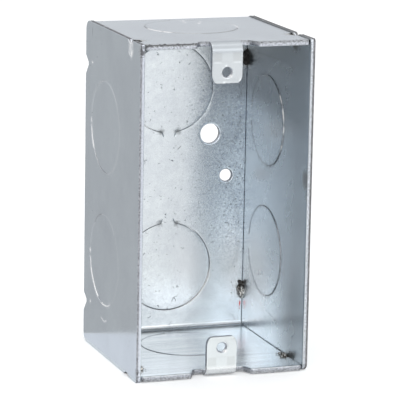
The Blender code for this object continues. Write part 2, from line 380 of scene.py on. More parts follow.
@dataclass
class CutLoop:
    """One closed cut through a sheet, ordered so that the sheet lies on its left."""

    points: Array
    cut: Cut
    is_hole: bool = True

    def __post_init__(self) -> None:
        """Turns the points round where the sheet would lie on their right."""
        after = np.roll(self.points, -1, axis=0)
        area = (self.points[:, 0] * after[:, 1] - after[:, 0] * self.points[:, 1]).sum()
        if (area > 0) == self.is_hole:
            self.points = self.points[::-1].copy()

    def normals(self) -> Array:
        """Mitred normals at the points, towards the sheet."""
        return mitred_normals(self.points)


@dataclass(frozen=True)
class Patch:
    """A rectangle of a flat sheet that is meshed finely, in millimetres."""

    x: float
    y: float
    half_width: float
    half_height: float
    spacing: float = 0.42

    def contains(self, flat: Array) -> Array:
        """Which flat points lie in the patch."""
        return (abs(flat[:, 0] - self.x) < self.half_width) & (abs(flat[:, 1] - self.y) < self.half_height)


def triangle_grid(low: Array, high: Array, spacing: float) -> Array:
    """Points of a triangular grid that fills a rectangle.

    Args:
        low: Lower left corner.
        high: Upper right corner.
        spacing: Distance between points.

    Returns:
        Flat points, row by row.
    """
    rows = []
    lift = spacing * math.sqrt(0.75)
    for index, y in enumerate(np.arange(low[1], high[1] + lift, lift)):
        x = np.arange(low[0] + (index % 2) * spacing / 2, high[0] + spacing, spacing)
        rows.append(np.stack([x, np.full_like(x, y)], 1))
    return np.concatenate(rows)


def inside_loops(points: Array, starts: Array, ends: Array) -> Array:
    """Which flat points lie inside the sheet, by counting the cuts to their right.

    Args:
        points: Flat points, one a row.
        starts: First ends of the cuts' edges.
        ends: Their second ends.

    Returns:
        True for each point on material.
    """
    result = np.zeros(len(points), bool)
    chunk = 1000
    for first in range(0, len(points), chunk):
        x = points[first : first + chunk, 0, None]
        y = points[first : first + chunk, 1, None]
        spans = (starts[None, :, 1] > y) != (ends[None, :, 1] > y)
        rise = ends[:, 1] - starts[:, 1]
        share = (y - starts[None, :, 1]) / np.where(rise == 0, 1e-9, rise)[None]
        cross = starts[None, :, 0] + share * (ends - starts)[None, :, 0]
        result[first : first + chunk] = (spans & (x < cross)).sum(1) % 2 == 1
    return result


def chains_of(edges: Array) -> list[list[int]]:
    """Walks directed boundary edges into closed chains of vertex indices.

    Args:
        edges: Pairs of vertex indices, with the sheet on their left.

    Returns:
        The chains, each in order.
    """
    following = {int(a): int(b) for a, b in edges}
    chains = []
    while following:
        here = next(iter(following))
        chain = []
        while here in following:
            chain.append(here)
            here = following.pop(here)
        chains.append(chain)
    return chains


@dataclass
class FlatMesh:
    """A triangulated flat sheet, with what its solid needs at each vertex."""

    points: Array
    triangles: Array
    chains: list[list[int]]
    chain_cuts: list[Cut]
    edge_gap: Array
    edge_cut: list[Cut]


def put_in_scene(name: str, mesh: bpy.types.Mesh, replaced: tuple[str, ...]) -> bpy.types.Object:
    """Puts a finished piece in the scene, in the place of its CAD nodes.

    Args:
        name: The piece's name.
        mesh: Its finished mesh.
        replaced: The CAD nodes that it stands for.

    Returns:
        The piece.
    """
    piece = bpy.data.objects.new(name, mesh)
    bpy.context.scene.collection.objects.link(piece)
    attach(piece, BODY)
    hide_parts(*replaced)
    LOG.info("%s: %d faces", name, len(mesh.polygons))
    return piece


class SheetPiece(ABC):
    """A piece of sheet steel that is meshed flat, given its edges and marks, and put in place.

    Its flat points are (x, y) in millimetres, and depth runs across the sheet from the back face
    at -thickness / 2 to the front face at +thickness / 2.
    """

    name: str
    replaced: tuple[str, ...]
    slot: str
    thickness: float
    torn_at_front: bool = False

    @abstractmethod
    def loops(self) -> list[CutLoop]:
        """Every cut through the sheet, the outline first."""

    @abstractmethod
    def place(self, flat: Array, depth: Array) -> Array:
        """Where flat points at given depths across the sheet lie in the box, in millimetres."""

    def patches(self) -> list[Patch]:
        """Rectangles that are meshed finely."""
        return []

    def guides(self) -> list[Array]:
        """Straight lines that the mesh follows, such as bends."""
        return []

    def press(self, flat: Array) -> Array:
        """How far the whole sheet is pushed forward at each flat point."""
        return 0.035 * ripple(flat, 26.0, 3.7)

    def relief(self, flat: Array, front: bool) -> Array:
        """How deep one face is marked at each flat point."""
        return np.zeros(len(flat))

    def edge_drop(self, flat: Array) -> Array:
        """How much of the usual edge rounding each flat point gets, from 0 to 1."""
        return np.ones(len(flat))

    def burr_height(self, flat: Array) -> Array:
        """How far the torn rim of a cut stands proud at most, in millimetres, at each flat point."""
        return np.full(len(flat), 0.05)

    def marks(self, flat: Array, solid: Array) -> dict[str, Array]:
        """Named values that the materials read, such as the grooves of the knockouts.

        Args:
            flat: Flat points.
            solid: The same points in the box.

        Returns:
            Values from 0 to 1 for each point, by name.
        """
        return {
            "painted_gleam": np.max([k.painted_gleam(flat) for k in self.knockouts()], axis=0),
            "groove": np.max([k.groove(flat) for k in self.knockouts()], axis=0),
        }

    @abstractmethod
    def knockouts(self) -> list[Knockout]:
        """The knockouts sheared in this sheet."""

    def mesh_flat(self) -> FlatMesh:
        """Triangulates the sheet between its cuts.

        Returns:
            The flat mesh with its boundary chains and distances to the cuts.
        """
        loops = self.loops()
        starts = np.concatenate([loop.points for loop in loops])
        ends = np.concatenate([np.roll(loop.points, -1, axis=0) for loop in loops])
        owner = np.concatenate([np.full(len(loop.points), i) for i, loop in enumerate(loops)])
        points = [starts]
        edges = []
        count = 0
        for loop in loops:
            size = len(loop.points)
            edges += [(count + i, count + (i + 1) % size) for i in range(size)]
            count += size
        for loop in loops:
            normals = loop.normals()
            for share in RING_SHARES:
                reach = share * CUT_EDGES[loop.cut].roll
                ring = loop.points + normals * reach
                gap, _ = distance_to_segments(ring, starts, ends)
                kept = gap > 0.9 * reach
                index = np.cumsum(kept) - 1 + count
                after = np.roll(kept, -1)
                size = len(ring)
                edges += [
                    (int(index[i]), int(index[(i + 1) % size]))
                    for i in range(size)
                    if kept[i] and after[i]
                ]
                points.append(ring[kept])
                count += int(kept.sum())
        for guide in self.guides():
            points.append(guide)
            edges += [(count + i, count + i + 1) for i in range(len(guide) - 1)]
            count += len(guide)
        fill = self.fill_points(starts, ends)
        points.append(fill)
        every = np.concatenate(points)
        result = delaunay_2d_cdt([Vector(p) for p in every], edges, [], 0, 1e-5)
        flat = np.array([v[:] for v in result[0]])
        triangles = np.array([f[:3] for f in result[2]])
        middle = flat[triangles].mean(1)
        triangles = triangles[inside_loops(middle, starts, ends)]
        used, triangles = np.unique(triangles, return_inverse=True)
        triangles = triangles.reshape(-1, 3)
        flat = flat[used]
        a, b, c = (flat[triangles[:, i]] for i in range(3))
        area = (b[:, 0] - a[:, 0]) * (c[:, 1] - a[:, 1]) - (b[:, 1] - a[:, 1]) * (c[:, 0] - a[:, 0])
        triangles[area < 0] = triangles[area < 0][:, ::-1]
        directed = np.concatenate([triangles[:, [0, 1]], triangles[:, [1, 2]], triangles[:, [2, 0]]])
        known = {(int(p), int(q)) for p, q in directed}
        boundary = np.array([(p, q) for p, q in known if (q, p) not in known])
        boundary = boundary[np.lexsort((boundary[:, 1], boundary[:, 0]))]
        gap, nearest = distance_to_segments(flat, starts, ends)
        cuts = [loops[int(owner[i])].cut for i in nearest]
        chains = chains_of(boundary)
        return FlatMesh(flat, triangles, chains, [cuts[chain[0]] for chain in chains], gap, cuts)

    def fill_points(self, starts: Array, ends: Array) -> Array:
        """Grid points between the cuts, closer together in the patches.

        Args:
            starts: First ends of the cuts' edges.
            ends: Their second ends.

        Returns:
            Flat points that keep clear of the cuts and guides.
        """
        low, high = starts.min(0), starts.max(0)
        coarse = triangle_grid(low, high, GRID_SPACING)
        sets = [coarse[~np.any([p.contains(coarse) for p in self.patches()], axis=0)]]
        for patch in self.patches():
            centre = np.array([patch.x, patch.y])
            half = np.array([patch.half_width, patch.half_height])
            sets.append(triangle_grid(centre - half, centre + half, patch.spacing))
        points = np.concatenate(sets)
        points = points[inside_loops(points, starts, ends)]
        gap, _ = distance_to_segments(points, starts, ends)
        for guide in self.guides():
            away, _ = distance_to_segments(points, guide[:1], guide[-1:])
            gap = np.minimum(gap, away * 2)
        return points[gap > FILL_CLEARANCE]

    def face_depths(self, flat: FlatMesh) -> tuple[Array, Array]:
        """Works out the sheet's two faces, with rolled rims, burrs and press marks.

        Args:
            flat: The flat mesh.

        Returns:
            Depth of the front and of the back face at each vertex.
        """
        profiles = [CUT_EDGES[cut] for cut in flat.edge_cut]
        roll = np.array([p.roll for p in profiles])
        ease = 1 - np.sqrt(1 - (1 - np.clip(flat.edge_gap / roll, 0.0, 1.0)) ** 2)
        ease = ease * self.edge_drop(flat.points)
        press = self.press(flat.points)
        burr = ripple(flat.points, 0.9, 4.4) * np.exp(-flat.edge_gap / 0.15) * self.burr_height(flat.points)
        entry = ease * [p.entry_drop for p in profiles]
        leave = ease * [p.exit_drop for p in profiles] - np.maximum(burr, 0.0)
        if self.torn_at_front:
            entry, leave = leave, entry
        half = self.thickness / 2
        front = half + press - entry - self.relief(flat.points, True)
        back = -half + press + leave + self.relief(flat.points, False)
        return front, back

    def wall_rows(self, ring: Array, front: Array, back: Array, profile: CutEdge) -> list[tuple[Array, ...]]:
        """Rows of points down a cut's wall between the two faces, torn or threaded.

        Args:
            ring: Flat points of the cut.
            front: Depth of the front face at each of them.
            back: Depth of the back face at each of them.
            profile: Shape of the cut edge.

        Returns:
            For each row its flat points, their depths and how torn they are.
        """
        outward = -mitred_normals(ring)
        steps = np.diff(ring, axis=0, prepend=ring[:1])
        length = np.cumsum(np.linalg.norm(steps, axis=1))
        spoke = ring - ring.mean(0)
        turn = np.arctan2(spoke[:, 1], spoke[:, 0]) / (2 * np.pi)
        rows = []
        for row in range(1, profile.rows):
            share = row / profile.rows
            level = front * (1 - share) + back * share
            deep = 1 - share if self.torn_at_front else share
            torn = eased(np.full(len(ring), deep), *TEAR_BAND) * (profile.fracture > 0.0)
            if profile.thread_pitch:
                wave = 0.5 - 0.5 * np.cos(2 * np.pi * (level / profile.thread_pitch - turn))
                shift = profile.thread_depth * wave * min(1.0, 5 * share, 5 * (1 - share))
            else:
                grain = ripple(np.stack([length, level * 2], 1), 0.8, 9.1 + len(ring))
                shift = -profile.fracture * torn * (1.0 + 1.2 * grain)
            rows.append((ring + outward * shift[:, None], level, torn))
        return rows

    def build(self, materials: list[bpy.types.Material]) -> bpy.types.Object:
        """Makes the solid sheet and puts it in the scene.

        Args:
            materials: The finish of the faces, then that of the cut edges.

        Returns:
            The finished object.
        """
        flat = self.mesh_flat()
        front, back = self.face_depths(flat)
        count = len(flat.points)
        spots = [flat.points, flat.points]
        depths = [front, back]
        torn = [np.full(count, float(self.torn_at_front)), np.full(count, float(not self.torn_at_front))]
        faces = np.concatenate([flat.triangles, flat.triangles[:, ::-1] + count]).tolist()
        walls: list[list[int]] = []
        total = 2 * count
        for chain, cut in zip(flat.chains, flat.chain_cuts):
            ring = np.array(chain)
            levels = [ring]
            for row in self.wall_rows(flat.points[ring], front[ring], back[ring], CUT_EDGES[cut]):
                for kept, value in zip((spots, depths, torn), row):
                    kept.append(value)
                levels.append(np.arange(total, total + len(ring)))
                total += len(ring)
            levels.append(ring + count)
            for upper, lower in zip(levels[:-1], levels[1:]):
                walls += np.stack([lower, np.roll(lower, -1), np.roll(upper, -1), upper], 1).tolist()
        spot = np.concatenate(spots)
        solid = self.place(spot, np.concatenate(depths)) * MM
        mesh = bpy.data.meshes.new(self.name)
        mesh.from_pydata(solid.tolist(), [], faces + walls)
        for material in materials:
            mesh.materials.append(material)
        indices = np.zeros(len(mesh.polygons), np.int32)
        indices[len(faces) :] = 1
        mesh.polygons.foreach_set("material_index", indices)
        values = self.marks(spot, solid / MM) | {"torn": np.concatenate(torn)}
        for key, value in values.items():
            layer = mesh.attributes.new(key, "FLOAT", "POINT")
            layer.data.foreach_set("value", value.astype(np.float32))
        outside = bmesh.new()
        outside.from_mesh(mesh)
        bmesh.ops.recalc_face_normals(outside, faces=outside.faces)
        outside.to_mesh(mesh)
        outside.free()
        mesh.shade_smooth()
        return put_in_scene(self.name, mesh, self.replaced)


@dataclass
class BoxSizes:
    """Sizes of the whole box in millimetres, read from the frame where it has them."""

    width: float
    depth: float
    height: float
    sheet: float
    strip_half_height: float
    seam: float = 0.10
    flares: tuple[float, float] = (0.1, 0.5)

    @classmethod
    def from_frame(cls) -> "BoxSizes":
        """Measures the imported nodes.

        Returns:
            The box's sizes.
        """
        left_low, left_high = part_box("left_side_plate")
        _, right_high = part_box("right_side_plate")
        _, strip_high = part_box("body_strip")
        return cls(
            width=(right_high.x - left_low.x) / MM,
            depth=(left_high.y - left_low.y) / MM,
            height=(left_high.z - left_low.z) / MM,
            sheet=(left_high.x - left_low.x) / MM,
            strip_half_height=strip_high.z / MM,
        )

    @property
    def strip_half_width(self) -> float:
        """Half the strip's width, up to a fine seam at each side plate."""
        return self.width / 2 - self.sheet - self.seam

    def flare(self, side: Array | int, deep: Array) -> Array:
        """How far the left (-1) or right (1) plate stands off at its open front, at each depth."""
        forward = np.maximum(deep - 20.0, 0.0) / (self.depth - 20.0)
        return np.where(np.asarray(side) > 0, self.flares[1], self.flares[0]) * forward**1.6


@dataclass
class WeldSpot:
    """Place of one weld, read from its CAD node, in millimetres."""

    node: str
    centre: Array
    upright: bool
    side: int
    inward: Array

    @classmethod
    def from_frame(cls, node: str) -> "WeldSpot":
        """Finds a weld's middle and the way it faces from its CAD node.

        Args:
            node: Name of the CAD node.

        Returns:
            The weld's place.
        """
        low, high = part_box(node)
        middle = np.array((low + high) / 2) / MM
        upright = "back" in node
        side = 1 if "right" in node else -1
        inward = np.array([0.0, -1.0, 0.0]) if upright else np.array([0.0, 0.0, -np.sign(middle[2])])
        return cls(node, middle, upright, side, inward)


@dataclass(frozen=True)
class WeldLook:
    """How one weld came out.

    Burn is 0 for bare metal and 1 for black crust, and rise adds burn towards the weld's top.
    Fullness scales its metal, and stretch its length. Spill and bulge are how far beads lie over the
    strip and into the box. Smoke scales the soot round it.
    """

    burn: float
    rise: float = 0.0
    fullness: float = 1.0
    spill: float = 1.9
    bulge: float = 1.15
    stretch: float = 1.0
    smoke: float = 1.0


WELD_LOOKS = {
    "weld_left_back_upper": WeldLook(0.3),
    "weld_left_back_lower": WeldLook(0.3),
    "weld_left_top": WeldLook(0.6),
    "weld_left_bottom": WeldLook(0.0),
    "weld_right_back_upper": WeldLook(1.0, spill=1.6, bulge=1.8),
    "weld_right_back_lower": WeldLook(0.22, rise=0.30, spill=1.4, bulge=1.4, stretch=1.35, smoke=0.62),
    "weld_right_top": WeldLook(0.9),
    "weld_right_bottom": WeldLook(0.1, fullness=0.72, spill=1.3, bulge=0.9, smoke=0.6),
}


@dataclass(frozen=True)
class Smudge:
    """A dark smudge round one place in the box, that fades along each axis, in millimetres."""

    centre: Triple | Array
    amount: float
    reach: Triple

    def value(self, solid: Array) -> Array:
        """How dark the smudge makes points of the box, its amount at its centre."""
        gap = (solid - np.array(self.centre)) / np.array(self.reach)
        return self.amount * np.exp(-(gap**2).sum(1))


STRIP_SMUDGES = (
    Smudge((-24.8, -53.0, 50.2), 0.9, (1.6, 1.6, 1.6)),
    Smudge((24.6, -52.6, 50.2), 0.6, (1.8, 1.8, 1.8)),
    Smudge((-24.8, -53.4, -50.2), 0.6, (0.9, 0.9, 0.9)),
)
LEFT_PLATE_SMUDGES = (
    Smudge((-25.4, -53.4, 42.0), 0.5, (1.2, 1.4, 11.0)),
    Smudge((-25.4, -53.6, 48.5), 0.8, (3.0, 1.6, 2.4)),
    Smudge((-26.6, -53.6, -47.8), 0.5, (3.0, 1.4, 2.0)),
)
RIGHT_PLATE_SMUDGES = (
    Smudge((25.4, -53.0, 8.0), 1.0, (9.0, 2.6, 3.2)),
    Smudge((25.4, -53.4, 2.6), 0.6, (9.0, 1.2, 1.2)),
    Smudge((25.4, -42.5, 47.0), 0.8, (9.0, 2.4, 1.6)),
    Smudge((27.0, -53.6, 49.6), 0.6, (3.0, 2.0, 2.5)),
    Smudge((27.0, -46.0, 50.6), 0.9, (3.0, 5.0, 1.2)),
)
GLINT_SIZE = 0.45
# Painted glints on top of the strip near its knockout's tie: across, depth, width and length, in
# millimetres.
TOP_GLINTS = (
    (2.0, 7.1, 0.8, 0.35),
    (1.4, 9.2, 0.5, 0.5),
    (0.7, 12.4, 0.9, 0.4),
    (6.1, 11.3, 0.5, 0.4),
    (4.8, 13.9, 0.7, 0.4),
    (4.3, 15.4, 0.4, 0.5),
)


@dataclass
class FoldedStrip(SheetPiece):
    """Top end, back, bottom end and both screw ears, folded from one flat blank.

    Flat x is the box's width, and flat y runs along the middle of the sheet from the middle of the
    back. The front face is the one inside the box.
    """

    box: BoxSizes
    welds: list[WeldSpot]
    name: str = "folded_strip"
    replaced: tuple[str, ...] = ("body_strip",)
    slot: str = "galvanised_strip"
    back_bend: float = 1.6
    ear_bend: float = 1.0
    bend_rows: int = 12
    ear_width: float = 9.5
    ear_recess: float = 0.4
    ear_hole_height: float = 3.28125 * INCH / 2
    ear_hole: float = 3.3
    ear_tip: float = 3.3
    ear_corner: tuple[float, float] = (1.7, 2.9)
    relief_width: float = 5.0
    relief_below: float = 0.9
    relief_slope: float = 1.8
    knockout_from_back: float = 0.8125 * INCH
    knockout_from_end: float = 0.875 * INCH
    fixing_hole: float = 0.25 * INCH
    fixing_spot: tuple[float, float] = (13.50, 13.58)
    earth_hole: float = 4.3
    earth_spot: float = 19.1
    pocket_length: float = 4.6
    pocket_reach: float = 1.6
    back_bow: float = 0.25
    end_seam: float = 0.05
    rim_wear: float = 0.05

    def __post_init__(self) -> None:
        """Works out lengths along the blank."""
        self.thickness = self.box.sheet
        half = self.thickness / 2
        self.back_outside = self.back_bend + self.thickness
        self.ear_outside = self.ear_bend + self.thickness
        self.bend_start = self.box.strip_half_height - self.back_outside
        self.bend_end = self.bend_start + (self.back_bend + half) * math.pi / 2
        self.rim = self.bend_end + self.box.depth - self.back_outside
        self.ear_start = self.rim - self.ear_recess - self.ear_outside
        self.ear_end = self.ear_start + (self.ear_bend + half) * math.pi / 2
        ear_root = self.box.strip_half_height - self.ear_outside
        self.ear_hole_at = self.ear_end + ear_root - self.ear_hole_height
        self.tip = self.ear_hole_at + self.ear_tip

    def knockouts(self) -> list[Knockout]:
        """The four knockouts of the strip, two in the back and one in each end.

        Returns:
            The knockouts.
        """
        back = self.box.height / 2 - self.knockout_from_end
        end = self.bend_end + self.knockout_from_back - self.back_outside
        quarter = math.pi / 2
        top_gleams = ((163.0, 20.0), (140.0, 8.0), (4.0, 20.0))
        return [
            Knockout(0.0, back, -quarter, 0.14),
            Knockout(0.0, -back, quarter, -0.20, gleam_width=0.24, gleams=((-38.0, 38.0),)),
            Knockout(0.0, end, -quarter, -0.12, gleam_width=0.22, gleams=top_gleams, ring=0.15),
            Knockout(0.0, -end, quarter, 0.14, slit=0.14),
        ]

    def weld_run(self, weld: WeldSpot) -> float:
        """How far along the blank a weld lies from the back's middle."""
        return abs(weld.centre[2]) if weld.upright else self.rim - self.box.depth - weld.centre[1]

    def half_edge(self, side: int, up: int) -> list[Triple]:
        """Corners of one quarter of the outline, from the back's middle to the ear's tip.

        Args:
            side: -1 for the left and 1 for the right.
            up: -1 for the lower half and 1 for the upper one.

        Returns:
            Place and radius of each corner.
        """
        ear = self.ear_width / 2
        relief = ear + self.relief_width
        floor = self.rim - self.ear_recess - self.ear_outside - self.relief_below
        corners: list[Triple] = []
        for weld in self.welds:
            if weld.side != side or np.sign(weld.centre[2]) != up:
                continue
            along = self.weld_run(weld)
            for turn in np.linspace(0.0, np.pi, 13):
                x = self.box.strip_half_width - self.pocket_reach * math.sin(turn) ** 0.8
                corners.append((x, along - self.pocket_length / 2 * math.cos(turn), 0.0))
        corners.sort(key=lambda corner: corner[1])
        corners += [
            (self.box.strip_half_width, self.rim, 1.0),
            (relief, self.rim, 1.0),
            (relief - self.relief_slope, floor, 1.5),
            (ear, floor, 0.4),
        ]
        for turn in np.linspace(0.0, np.pi / 2, 10):
            x = ear - self.ear_corner[0] * (1.0 - math.cos(turn))
            corners.append((x, self.tip - self.ear_corner[1] * (1.0 - math.sin(turn)), 0.0))
        return [(side * x, up * y, r) for x, y, r in corners]

    def loops(self) -> list[CutLoop]:
        """Outline, knockout slits and holes of the blank.

        Returns:
            The cuts, the outline first.
        """
        quarters = [
            self.half_edge(1, 1),
            self.half_edge(-1, 1)[::-1],
            self.half_edge(-1, -1),
            self.half_edge(1, -1)[::-1],
        ]
        outline = split_long_edges(round_corners(sum(quarters, [])), EDGE_SPACING)
        loops = [CutLoop(self.roughen(outline), Cut.SHEARED, False)]
        loops += [CutLoop(k.slit_outline(), Cut.KNOCKOUT) for k in self.knockouts()]
        x, y = self.fixing_spot
        loops.append(CutLoop(round_hole(x, y, self.fixing_hole), Cut.PUNCHED))
        loops.append(CutLoop(round_hole(-x, -y, self.fixing_hole), Cut.PUNCHED))
        loops.append(CutLoop(round_hole(self.earth_spot, 0.0, self.earth_hole), Cut.TAPPED))
        for up in (1, -1):
            loops.append(CutLoop(round_hole(0.0, up * self.ear_hole_at, self.ear_hole), Cut.TAPPED))
        return loops

    def roughen(self, outline: Array) -> Array:
        """Makes the sheared outline slightly uneven, and ragged at the welds.

        Args:
            outline: Flat points of the clean outline.

        Returns:
            The same points as they are cut.
        """
        solid = self.place(outline, np.zeros(len(outline)))
        near = np.min([np.linalg.norm(solid - w.centre, axis=1) for w in self.welds], axis=0)
        at_rim = eased(abs(outline[:, 1]), self.rim - 0.8, self.rim - 0.4)
        worn = at_rim * (abs(outline[:, 0]) > self.ear_width / 2 + 0.5)
        size = 0.02 + self.rim_wear * worn + 0.20 * bell(near, 0.0, 3.2)
        loop = CutLoop(outline, Cut.SHEARED, False)
        normals = loop.normals()
        points = loop.points + normals * (size * (0.3 + ripple(loop.points, 1.1, 2.2)))[:, None]
        open_seam = eased(abs(points[:, 1]), self.bend_start, self.bend_end)
        open_seam = open_seam * eased(abs(points[:, 0]), 20.0, 25.0) * self.end_seam
        open_seam = open_seam * eased(-abs(points[:, 1]), -self.rim + 3.0, -self.rim + 9.0)
        side = np.sign(points[:, 0])
        at_plate = eased(abs(points[:, 0]), 18.0, 24.0)
        points[:, 0] += side * (at_plate * self.box.flare(side, -solid[:, 1]) - open_seam)
        return points

    def burr_height(self, flat: Array) -> Array:
        """A coarse burr along the open front, worst on the left of the top end.

        Args:
            flat: Flat points.

        Returns:
            Height in millimetres at each point.
        """
        at_rim = eased(abs(flat[:, 1]), self.rim - 0.8, self.rim - 0.3)
        worst = (flat[:, 1] > 0) * eased(-flat[:, 0], 7.0, 9.0)
        return 0.05 + at_rim * (0.22 + 0.45 * worst)

    def patches(self) -> list[Patch]:
        """Fine mesh on the ears and round each weld.

        Returns:
            The patches.
        """
        middle, half = (self.ear_end + self.tip) / 2, (self.tip - self.ear_end) / 2
        found = [Patch(0.0, up * middle, self.ear_width / 2, half, 0.36) for up in (1, -1)]
        for weld in self.welds:
            along = np.sign(weld.centre[2]) * self.weld_run(weld)
            found.append(Patch(weld.centre[0], along, 4.5, 5.0))
        found.append(Patch(2.8, self.bend_end + 11.0 - self.back_outside, 4.2, 5.6, 0.32))
        return found

    def guides(self) -> list[Array]:
        """Rows across the blank at every step of its four bends.

        Returns:
            Points of each row.
        """
        rows = []
        for start, end, half in (
            (self.bend_start, self.bend_end, self.box.strip_half_width + 0.5),
            (self.ear_start, self.ear_end, self.ear_width / 2 + 0.5),
        ):
            count = int(2 * half / 1.0)
            x = np.linspace(-half, half, count)
            for along in np.linspace(start, end, self.bend_rows + 1):
                rows += [np.stack([x, np.full_like(x, up * along)], 1) for up in (1, -1)]
        return rows

    def place(self, flat: Array, depth: Array) -> Array:
        """Folds the blank: each flat point goes round the bends at its own depth in the sheet.

        Args:
            flat: Flat points.
            depth: Depth of each, towards the front face.

        Returns:
            The points in the box, in millimetres.
        """
        x, y = flat[:, 0], flat[:, 1]
        up = np.where(y < 0, -1.0, 1.0)
        run = abs(y)
        out = -depth
        middle = self.back_bend + self.thickness / 2
        turn = np.clip((run - self.bend_start) / middle, 0.0, np.pi / 2)
        past = np.maximum(run - self.bend_end, 0.0)
        reach = middle + out
        deep = -self.back_outside + reach * np.cos(turn) - past
        high = np.minimum(run, self.bend_start) + reach * np.sin(turn)
        ear_middle = self.ear_bend + self.thickness / 2
        centre_deep = -self.box.depth + self.ear_recess + self.ear_outside
        centre_high = self.box.strip_half_height - self.ear_outside
        ear_turn = np.clip((run - self.ear_start) / ear_middle, 0.0, np.pi / 2)
        ear_past = np.maximum(run - self.ear_end, 0.0)
        on_ear = (abs(x) < self.ear_width / 2 + self.relief_width / 4) & (run > self.ear_start)
        deep = np.where(on_ear, centre_deep - (ear_middle + out) * np.sin(ear_turn), deep)
        high = np.where(on_ear, centre_high + (ear_middle + out) * np.cos(ear_turn) - ear_past, high)
        return np.stack([x, deep, up * high], 1)

    def press(self, flat: Array) -> Array:
        """Slight waviness and bow of the sheet, and the lean of each slug.

        Args:
            flat: Flat points.

        Returns:
            How far each point is pushed forward, in millimetres.
        """
        total = super().press(flat) * eased(-abs(flat[:, 1]), -self.ear_start, -self.ear_start + 6.0)
        on_back = eased(-abs(flat[:, 1]), -self.bend_start, -self.bend_start + 9.0)
        total = total + on_back * self.back_bow * np.maximum(flat[:, 0] - 3.0, 0.0) / 22.0
        for knockout in self.knockouts():
            total = total + knockout.offset(flat)
        return total

    def edge_drop(self, flat: Array) -> Array:
        """Keeps the long edges square where the side plates cover them.

        Args:
            flat: Flat points.

        Returns:
            Values from 0 to 1.
        """
        side = self.box.strip_half_width
        covered = eased(abs(flat[:, 0]), side - 0.8, side - 0.5)
        return 1.0 - 0.75 * covered * eased(-abs(flat[:, 1]), -self.rim + 0.4, -self.rim + 1.2)

    def ear_squares(self, flat: Array) -> Array:
        """Where the folding tool pressed two squares into each ear beside its bend.

        Args:
            flat: Flat points.

        Returns:
            Values from 0 to 1.
        """
        run = abs(flat[:, 1]) - self.ear_end
        across = abs(flat[:, 0])
        rows = eased(run, 0.3, 0.7) * eased(-run, -3.3, -3.0)
        return rows * eased(across, 1.5, 1.9) * eased(-across, -4.5, -4.1)

    def ear_crease(self, flat: Array) -> Array:
        """A fine pressed line across each ear just inside its hole."""
        return bell(abs(flat[:, 1]) - self.ear_end, 3.3, 0.16)

    def tip_crease(self, flat: Array) -> Array:
        """A fine line along each ear's sheared tip."""
        return bell(abs(flat[:, 1]), self.tip - 0.75, 0.14)

    def relief(self, flat: Array, front: bool) -> Array:
        """Squares and creases pressed in the ears' front faces, which are the sheet's outer face."""
        pressed = 0.05 * self.ear_squares(flat) + 0.03 * self.ear_crease(flat) + 0.04 * self.tip_crease(flat)
        return pressed * (not front)

    def ear_curl(self, flat: Array) -> Array:
        """Where the ears curl over at the open front.

        Args:
            flat: Flat points.

        Returns:
            Values from 0 to 1.
        """
        run = abs(flat[:, 1])
        on_ear = abs(flat[:, 0]) < self.ear_width / 2 + 0.3
        rising = eased(run, self.ear_start - 0.8, self.ear_start + 0.6)
        return on_ear * rising * eased(-run, -self.ear_end - 0.9, -self.ear_end + 0.2)

    @staticmethod
    def back_face(solid: Array) -> Array:
        """How much each point belongs to the back's inner face, from 0 to 1."""
        return eased(solid[:, 1], -4.0, -2.5) * eased(-solid[:, 1], 0.5, 1.1)

    def gleams(self, flat: Array, solid: Array) -> Array:
        """Painted highlights on the lower bend, the lower ear's curl, and glints on top and at the ear
        holes.

        Args:
            flat: Flat points.
            solid: The same points in the box.

        Returns:
            Values from 0 to 1.
        """
        x, y, deep = flat[:, 0], flat[:, 1], solid[:, 1]
        lower_bend = bell(y, -(self.bend_start + self.bend_end) / 2, 0.9)
        result = np.maximum(0.34 * lower_bend, 0.38 * self.ear_curl(flat) * (y < 0))
        on_top = solid[:, 2] > self.box.strip_half_height - 0.4
        for across, depth, wide, long in TOP_GLINTS:
            spot = bell(x, across, wide) * bell(deep, -depth, long)
            result = np.maximum(result, spot * on_top)
        on_face = eased(-deep, 51.6, 52.0)
        for across, along in ((1.15, self.ear_hole_at + 1.15), (1.1, -self.ear_hole_at + 1.2)):
            spot = bell(x, across, GLINT_SIZE) * bell(y, along, GLINT_SIZE)
            result = np.maximum(result, spot * on_face)
        return result

    def shade(self, flat: Array, solid: Array) -> Array:
        """Painted shade on the ears, on the left of the bottom end, and low and on the right of the back.

        Args:
            flat: Flat points.
            solid: The same points in the box.

        Returns:
            Values from 0 to 1.
        """
        run, upper = abs(flat[:, 1]), flat[:, 1] > 0
        ear = eased(run, self.ear_start, self.ear_end)
        on_ear = abs(flat[:, 0]) < self.ear_width / 2 + 0.3
        bend = bell(run, self.ear_end - 0.4, 1.1) * on_ear * upper
        bottom = eased(-flat[:, 1], self.bend_start, self.bend_end)
        left = eased(-flat[:, 0], -14.0, -2.0)
        inside = self.back_face(solid)
        low = np.exp(-((solid[:, 0] / 16.0) ** 4)) * bell(solid[:, 2], -44.0, 2.8)
        side = bell(solid[:, 0], 20.0, 4.5) * bell(solid[:, 2], -26.0, 9.0)
        shades = [
            0.18 * ear + 0.20 * bend,
            0.34 * self.ear_curl(flat) * upper,
            0.25 * bottom * left * (1.0 - ear),
            0.20 * low * inside,
            0.24 * side * inside,
        ]
        return np.max(shades, axis=0)

